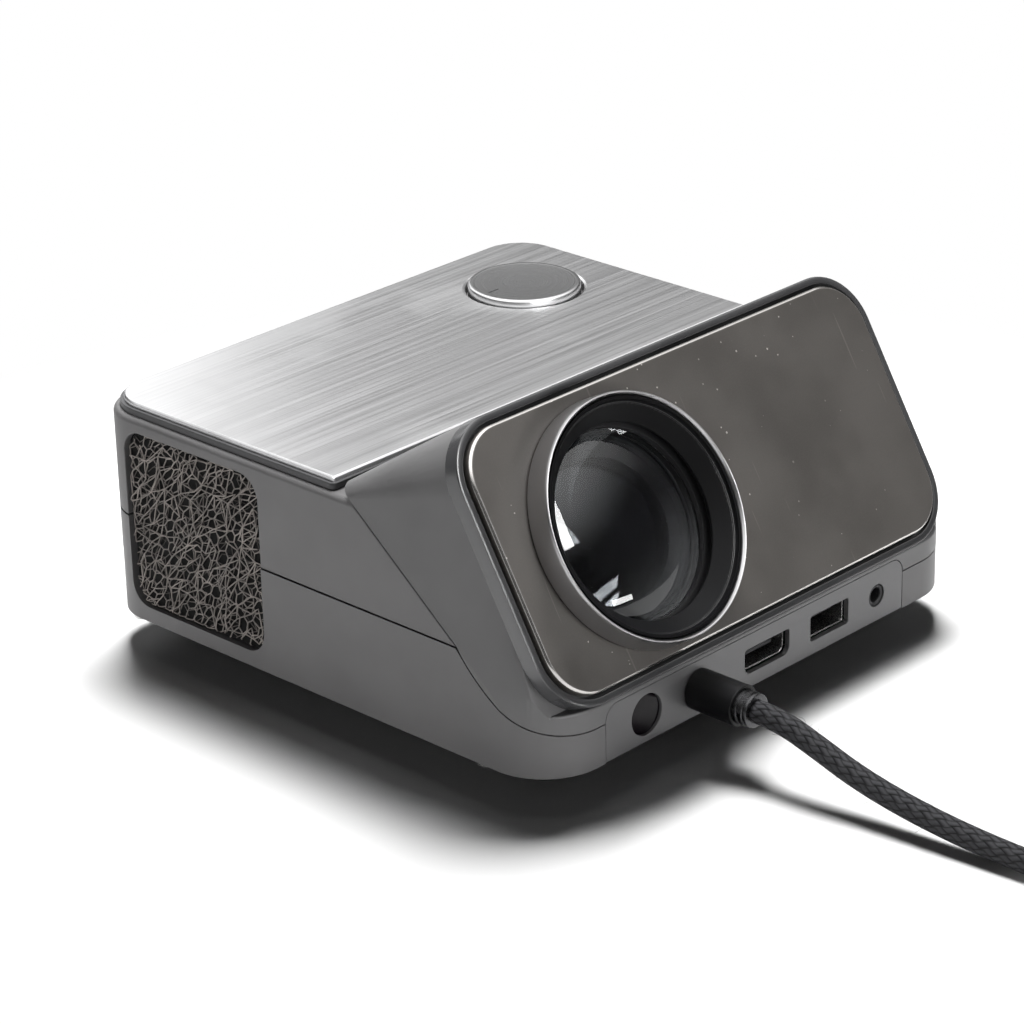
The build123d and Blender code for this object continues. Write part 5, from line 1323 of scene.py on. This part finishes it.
@dataclass
class PortStrip(Assembly):
    """The strip under the slab with its window, sockets and plug hole."""

    left: float = -56.3
    right: float = 51.3
    low: float = 9.0
    high: float = 23.2
    port_z: float = 16.0
    window_x: float = -42.3
    plug_x: float = -24.7
    hdmi_x: float = 0.15
    usb_x: float = 23.25
    jack_x: float = 41.2

    def build(self) -> None:
        """Make the strip, the window and the two sheet sockets."""
        middle = ((self.left + self.right) / 2, (self.low + self.high) / 2)
        outline = rounded_outline(self.right - self.left - 0.3, self.high - self.low - 0.3,
                                  (0.3, 4.0, 4.0, 0.3), middle)
        soft = [(0.0, -1.4), (0.0, -0.3), (-0.08, -0.08), (-0.3, 0.0)]
        z = self.port_z
        holes = [
            (round_outline(5.1, (self.window_x, z), 48), soft),
            (round_outline(4.0, (self.plug_x, z), 48), soft),
            (rounded_outline(16.1, 6.4, (2.2, 0.8, 0.8, 2.2), (self.hdmi_x, z)), soft),
            (rounded_outline(14.2, 6.6, (0.7,) * 4, (self.usb_x, z)), soft),
            (round_outline(2.85, (self.jack_x, z), 40), soft)]
        strip = plate("port_panel", FRONT, outline,
                      [(0.0, -1.4), (0.0, -0.25), (0.07, -0.07), (0.25, 0.0)], holes)
        self.dress(strip, "strip", "strip_metal", "port_strip")
        window = turned("remote_window", FRONT.moved_to((self.window_x, FRONT_Y, z)),
                        [(0, -1.4), (5.0, -1.4), (5.05, -0.9), (4.9, -0.7), (0, -0.55)], False, 48)
        self.dress(window, "window", "gloss_window")
        for name, node, x, outer, inner, radii, tongue, drop in (
                ("hdmi_shell", "hdmi_socket", self.hdmi_x, (15.0, 5.6), (14.0, 4.6),
                 (1.9, 0.5, 0.5, 1.9), (11.6, 1.2), 0.0),
                ("usb_shell", "usb_socket", self.usb_x, (13.5, 6.1), (12.5, 5.1),
                 (0.4,) * 4, (10.1, 1.8), 1.2)):
            shell = plate(name, FRONT, rounded_outline(*outer, radii, (x, z)),
                          [(0.0, -14.4), (0.0, -1.5), (0.1, -1.4)],
                          [(rounded_outline(*inner, tuple(max(r - 0.4, 0.2) for r in radii), (x, z)),
                            [(0.0, -14.4), (0.0, -1.55), (-0.12, -1.4)])])
            self.dress(shell, "socket", "socket_steel", node)
            bar = plate(f"{node}_tongue", FRONT, rounded_outline(*tongue, (0.2,) * 4, (x, z + drop)),
                        [(0.0, -14.3), (0.0, -3.8), (0.2, -3.6)])
            self.dress(bar, "inner", "black_plastic")
        section = softened([(1.8, -1.4), (2.8, -1.4), (2.8, -0.5), (2.3, -0.25), (1.85, -0.5)], 0.12, True, 2)
        ring = turned("audio_ring", FRONT.moved_to((self.jack_x, FRONT_Y, z)), section, True, 48)
        self.dress(ring, "inner", "black_plastic")


class Side(Enum):
    """A side of the body."""

    LEFT = -1.0
    RIGHT = 1.0


@dataclass
class WirePads(Assembly):
    """The pads of tangled wire behind the two side openings."""

    width: float = 46.8
    height: float = 45.6
    corner: float = 5.8
    middle_y: float = 43.045
    middle_z: float = 36.0
    outer_x: float = 74.3
    layers: tuple[tuple[float, float, float, int, float], ...] = (
        (3.3, 0.17, -0.25, 11, 0.42), (2.9, 0.18, -0.6, 23, 0.0), (2.9, 0.14, -0.95, 37, 0.4))
    edge_gap: float = 0.25

    def tangle(self, side: Side) -> bpy.types.Object:
        """Knit one pad: three nets of uneven cells, one behind the other.

        Args:
            side: The side of the body.

        Returns:
            The pad's wires as one piece.
        """
        tree = Pattern(f"wire_tangle_{side.name.lower()}", {
            "Width": (self.width - 2 * self.edge_gap) * MM, "Height": (self.height - 2 * self.edge_gap) * MM,
            "Corner": self.corner * MM, "Wobble": 0.42, "Wire": 1.0})
        width, height = tree.given("Width"), tree.given("Height")
        nets = tree.node("GeometryNodeJoinGeometry")
        join = nets.socket.node
        for pitch, wire, depth, seed, dropped in self.layers:
            across = int(self.width / pitch) + 1
            up = int(self.height / pitch) + 1
            grid = tree.node("GeometryNodeMeshGrid", None, {
                "Size X": width + pitch * MM, "Size Y": height + pitch * MM, "Vertices X": across,
                "Vertices Y": up})
            thirds = tree.node("GeometryNodeTriangulate", None, {0: grid})
            shaken = tree.node("GeometryNodeSetPosition", None, {
                "Geometry": thirds, "Offset": tree.wobble(tree.given("Wobble") * pitch * MM, seed)})
            pulled = tree.node("GeometryNodeSetPosition", None, {
                "Geometry": shaken, "Offset": tree.drift(150.0, pitch * 1.5 * MM, 0.1 * seed)})
            if dropped:
                chance = tree.node("FunctionNodeRandomValue", {"data_type": "BOOLEAN"}, {
                    "Probability": dropped, "Seed": seed}, 3)
                cells = tree.node("GeometryNodeDeleteGeometry", {"domain": "EDGE", "mode": "EDGE_FACE"}, {
                    "Geometry": pulled, "Selection": chance})
            else:
                cells = tree.node("GeometryNodeDualMesh", {}, {"Mesh": pulled})
            strands = tree.node("GeometryNodeMeshToCurve", None, {"Mesh": cells})
            finer = tree.node("GeometryNodeSubdivideCurve", None, {"Curve": strands, "Cuts": 2})
            bent = tree.node("GeometryNodeSetPosition", None, {
                "Geometry": finer, "Offset": tree.drift(300.0, 0.7 * MM, 0.3 * seed)})
            x, y, z = tree.split(tree.node("GeometryNodeInputPosition"))
            over_x = (abs(x) - (width / 2.0 - tree.given("Corner"))).most(0.0)
            over_y = (abs(y) - (height / 2.0 - tree.given("Corner"))).most(0.0)
            outside = (over_x * over_x + over_y * over_y) > tree.given("Corner") * tree.given("Corner")
            kept = tree.node("GeometryNodeDeleteGeometry", {"domain": "POINT"}, {
                "Geometry": bent, "Selection": outside})
            flat = tree.node("GeometryNodeSetPosition", None, {
                "Geometry": kept, "Position": tree.vector(x, y, z * 0.55 + depth * MM)})
            section = tree.node("GeometryNodeCurvePrimitiveCircle", None, {
                "Resolution": 5, "Radius": tree.given("Wire") * wire * MM})
            wires = tree.node("GeometryNodeCurveToMesh", None, {
                "Curve": flat, "Profile Curve": section, "Fill Caps": True})
            tree.tree.links.new(wires.socket, join.inputs[0])
        x, y, z = tree.split(tree.node("GeometryNodeInputPosition"))
        stood = tree.node("GeometryNodeSetPosition", None, {
            "Geometry": nets, "Position": tree.vector(
                z * side.value + side.value * self.outer_x * MM, x * -side.value + self.middle_y * MM,
                y + self.middle_z * MM)})
        tree.end(stood, self.palette["wire"])
        return tree.piece(f"wire_pad_{side.name.lower()}")

    def build(self) -> None:
        """Make both pads and the near-black sheet behind them, which is painted shade for the dark inside of
        the body.
        """
        for side in Side:
            node = f"{side.name.lower()}_mesh"
            pad = self.tangle(side)
            pad.data.shade_smooth()
            self.dress(pad, None, "mesh_wire", node)
            # Painted shade: a near-black sheet behind the wires.
            place = Placement((side.value * (self.outer_x - 1.5), self.middle_y, self.middle_z),
                              (0, side.value, 0), (0, 0, 1), (side.value, 0, 0))
            outline = rounded_outline(self.width, self.height, (self.corner,) * 4)
            shade_sheet_piece = plate(f"pad_cloth_{side.name.lower()}", place, outline, [(0.0, 0.0), (0.0, 0.1)])
            self.dress(shade_sheet_piece, "painted_shade_sheet", "mesh_wire")


@dataclass
class TrayFront(Assembly):
    """The tray's front in the rear wall, and its button."""

    button: Point2 = (-45.0, 16.95)

    def build(self) -> None:
        """Make the front with a soft edge and the button in its slot."""
        slot = rounded_outline(9.3, 3.5, (0.5,) * 4, self.button)
        front = plate("tray_front", REAR, rounded_outline(124.6, 11.2, (0.8,) * 4, (0.0, self.button[1])),
                      [(0.0, -2.2), (0.0, -0.4), (0.12, -0.12), (0.4, 0.0)],
                      [(slot, [(0.0, -2.2), (0.0, -0.15), (-0.15, 0.0)])])
        self.dress(front, "shell", "tray_plastic", "tray_bezel", body="tray")
        key = plate("eject_key", REAR, rounded_outline(9.0, 3.2, (0.5,) * 4, self.button),
                    [(0.0, -1.3), (0.0, -0.35), (0.1, -0.1), (0.35, 0.0)])
        self.dress(key, "step", "tray_plastic", "eject_button", body="eject")


@dataclass
class CarriedNodes(Assembly):
    """The finishes of the nodes that are shown as they are."""

    FINISH = {
        "case_screws": "steel", "audio_jack": "inner", "dc_socket": "inner", "remote_sensor": "inner",
        "port_board": "board", "lens_mount": "inner", "lens_barrel": "inner", "rear_lens": "glass",
        "picture_panel": "panel", "light_tunnel": "inner", "condenser_lens": "glass", "led_board": "board",
        "heat_pipe": "copper", "fan_shroud": "inner", "fan_frame": "inner", "fan_rotor": "inner",
        "heatsink": "aluminium", "speaker_frame": "inner", "speaker": "speaker", "main_board": "board",
        "encoder_body": "inner", "dial_plunger": "steel", "drive_case": "drive", "drive_cover": "drive",
        "drive_posts": "rubber", "tray_rails": "inner", "disc_tray": "tray", "tray_chassis": "drive",
        "spindle_motor": "steel", "spindle_hub": "tray", "pickup_sled": "inner", "pickup_rods": "steel",
        "lead_screw": "steel", "sled_motor": "drive",
    }

    def build(self) -> None:
        """Give each node its material."""
        for node, finish in self.FINISH.items():
            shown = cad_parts[node]
            if not shown.material_slots:
                shown.data.materials.append(None)
            for place in shown.material_slots:
                place.material = self.palette[finish]
            LOG.info("node %s is finished as %s", node, finish)


# ---- stage ---------------------------------------------------------------------------------------
@dataclass
class Stage:
    """A white floor, a white world, soft lamps and the camera."""

    azimuth: float = -45.86
    elevation: float = 23.97
    roll: float = -1.42
    distance: float = 892.96
    shift: Point2 = (9.88, -2.55)
    focal_pixels: float = 3656.8
    aim: Point3 = (0.0, -4.355, 35.0)
    fill: float = 0.012
    sky: tuple[float, float, float, float] = (0.36, 0.88, 0.05, 2.2)

    def camera(self) -> None:
        """Set the camera at the photograph's angle."""
        a, e, r = (math.radians(value) for value in (self.azimuth, self.elevation, self.roll))
        back = Vector((math.sin(a) * math.cos(e), -math.cos(a) * math.cos(e), math.sin(e)))
        ahead = -back
        right = ahead.cross(Vector((0, 0, 1))).normalized()
        down = ahead.cross(right)
        turned_right = right * math.cos(r) - down * math.sin(r)
        turned_down = right * math.sin(r) + down * math.cos(r)
        offset = turned_right * self.shift[0] + turned_down * self.shift[1] + ahead * self.distance
        spot = Vector(self.aim) - offset
        data = bpy.data.cameras.new("camera")
        data.sensor_width = 36.0
        data.lens = self.focal_pixels / 1024 * 36.0
        data.clip_start, data.clip_end = 0.05, 20.0
        camera = new_object("camera", data)
        camera.matrix_world = Matrix((
            (turned_right.x, -turned_down.x, back.x, spot.x * MM),
            (turned_right.y, -turned_down.y, back.y, spot.y * MM),
            (turned_right.z, -turned_down.z, back.z, spot.z * MM), (0, 0, 0, 1)))
        bpy.context.scene.camera = camera

    def floor(self) -> None:
        """Lay a white floor that keeps the shadow and turns into the plain white backdrop further out."""
        mesh = bmesh.new()
        bmesh.ops.create_grid(mesh, x_segments=2, y_segments=2, size=6.0)
        bmesh.ops.translate(mesh, verts=mesh.verts, vec=(0, 0, -0.00004))
        floor = mesh_object("floor", mesh)
        shader = Shader("white_floor")
        camera, mirrored = shader.rays()
        seen = camera.most(mirrored)
        matt = shader.node("ShaderNodeBsdfDiffuse", None, {
            "Color": shader.blend(seen, (0.5, 0.5, 0.5), (0.66, 0.66, 0.66))})
        glow = shader.node("ShaderNodeEmission", None, {"Color": (1.0, 1.0, 1.0), "Strength": 1.0})
        x, y, _ = shader.split(shader.place(middle=self.aim))
        far = shader.band((x * x + y * y).root(), 0.15, 0.24)
        shader.node_output(shader.node("ShaderNodeMixShader", None, {0: far * seen, 1: matt, 2: glow}))
        floor.data.materials.append(shader.material)

    def world(self) -> None:
        """Make the world white to the camera, graded to reflections and a weak soft light to the object."""
        world = bpy.data.worlds.new("white_room")
        bpy.context.scene.world = world
        world.use_nodes = True
        graph = Graph(world.node_tree)
        graph.tree.nodes.clear()
        camera, mirrored = graph.rays()
        height = graph.split(graph.node("ShaderNodeTexCoord", output="Generated"))[2]
        sky = graph.band(height, *self.sky)
        strength = (sky * mirrored + self.fill * (1.0 - mirrored)) * (1.0 - camera) + camera
        light = graph.node("ShaderNodeBackground", None, {"Color": (1.0, 1.0, 1.0), "Strength": strength})
        made = graph.tree.nodes.new("ShaderNodeOutputWorld")
        graph.tree.links.new(light.socket, made.inputs["Surface"])

    def lamp(self, name: str, place: Point3, size: Point2, power: float, mirrored: bool = True,
             aim: Point3 = (0, 0, 35)) -> bpy.types.Object:
        """Hang one soft lamp.

        Args:
            name: Its name.
            place: Where it is, in millimetres.
            size: Its width and height in millimetres.
            power: Its power in watts.
            mirrored: Whether reflections show it.
            aim: The point it faces.

        Returns:
            The lamp.
        """
        data = bpy.data.lights.new(name, "AREA")
        data.shape = "RECTANGLE"
        data.size, data.size_y = size[0] * MM, size[1] * MM
        data.energy = power
        lamp = new_object(name, data)
        lamp.location = Vector(place) * MM
        lamp.visible_glossy = mirrored
        lamp.rotation_euler = (Vector(aim) - Vector(place)).to_track_quat("-Z", "Y").to_euler()
        return lamp

    def build(self) -> None:
        """Set the whole stage."""
        self.camera()
        self.floor()
        self.world()
        self.lamp("key_lamp", (225, 225, 840), (320, 320), 19.5, False)
        self.lamp("left_lamp", (-900, -60, 24), (600, 44), 3.2, False)
        self.lamp("front_lamp", (160, -900, 24), (600, 44), 4.4, False)
        self.lamp("deck_lamp", (150, 450, 270), (240, 240), 0.27, True, (0, 30, 65))
        for name, place, size, power in (("window_lamp", (50, -640, 630), (130, 460), 3.4),
                                         ("pane_lamp", (-290, -740, 410), (120, 240), 1.6),
                                         ("glint_lamp", (315, -842, 80), (170, 40), 0.36)):
            self.lamp(name, place, size, power).visible_diffuse = False
        bpy.context.scene.view_settings.view_transform = "Standard"


def main() -> None:
    """Build the stage, the lead and every sub-assembly."""
    logging.basicConfig(level=logging.INFO)
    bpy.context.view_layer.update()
    palette = Palette()
    Stage().build()
    for kind in (Lead, Shells, Feet, Deck, Slab, LensUnit, PortStrip, WirePads, TrayFront, CarriedNodes):
        kind(palette).build()
        LOG.info("built %s", kind.__name__)


if __name__ == "__main__":
    main()
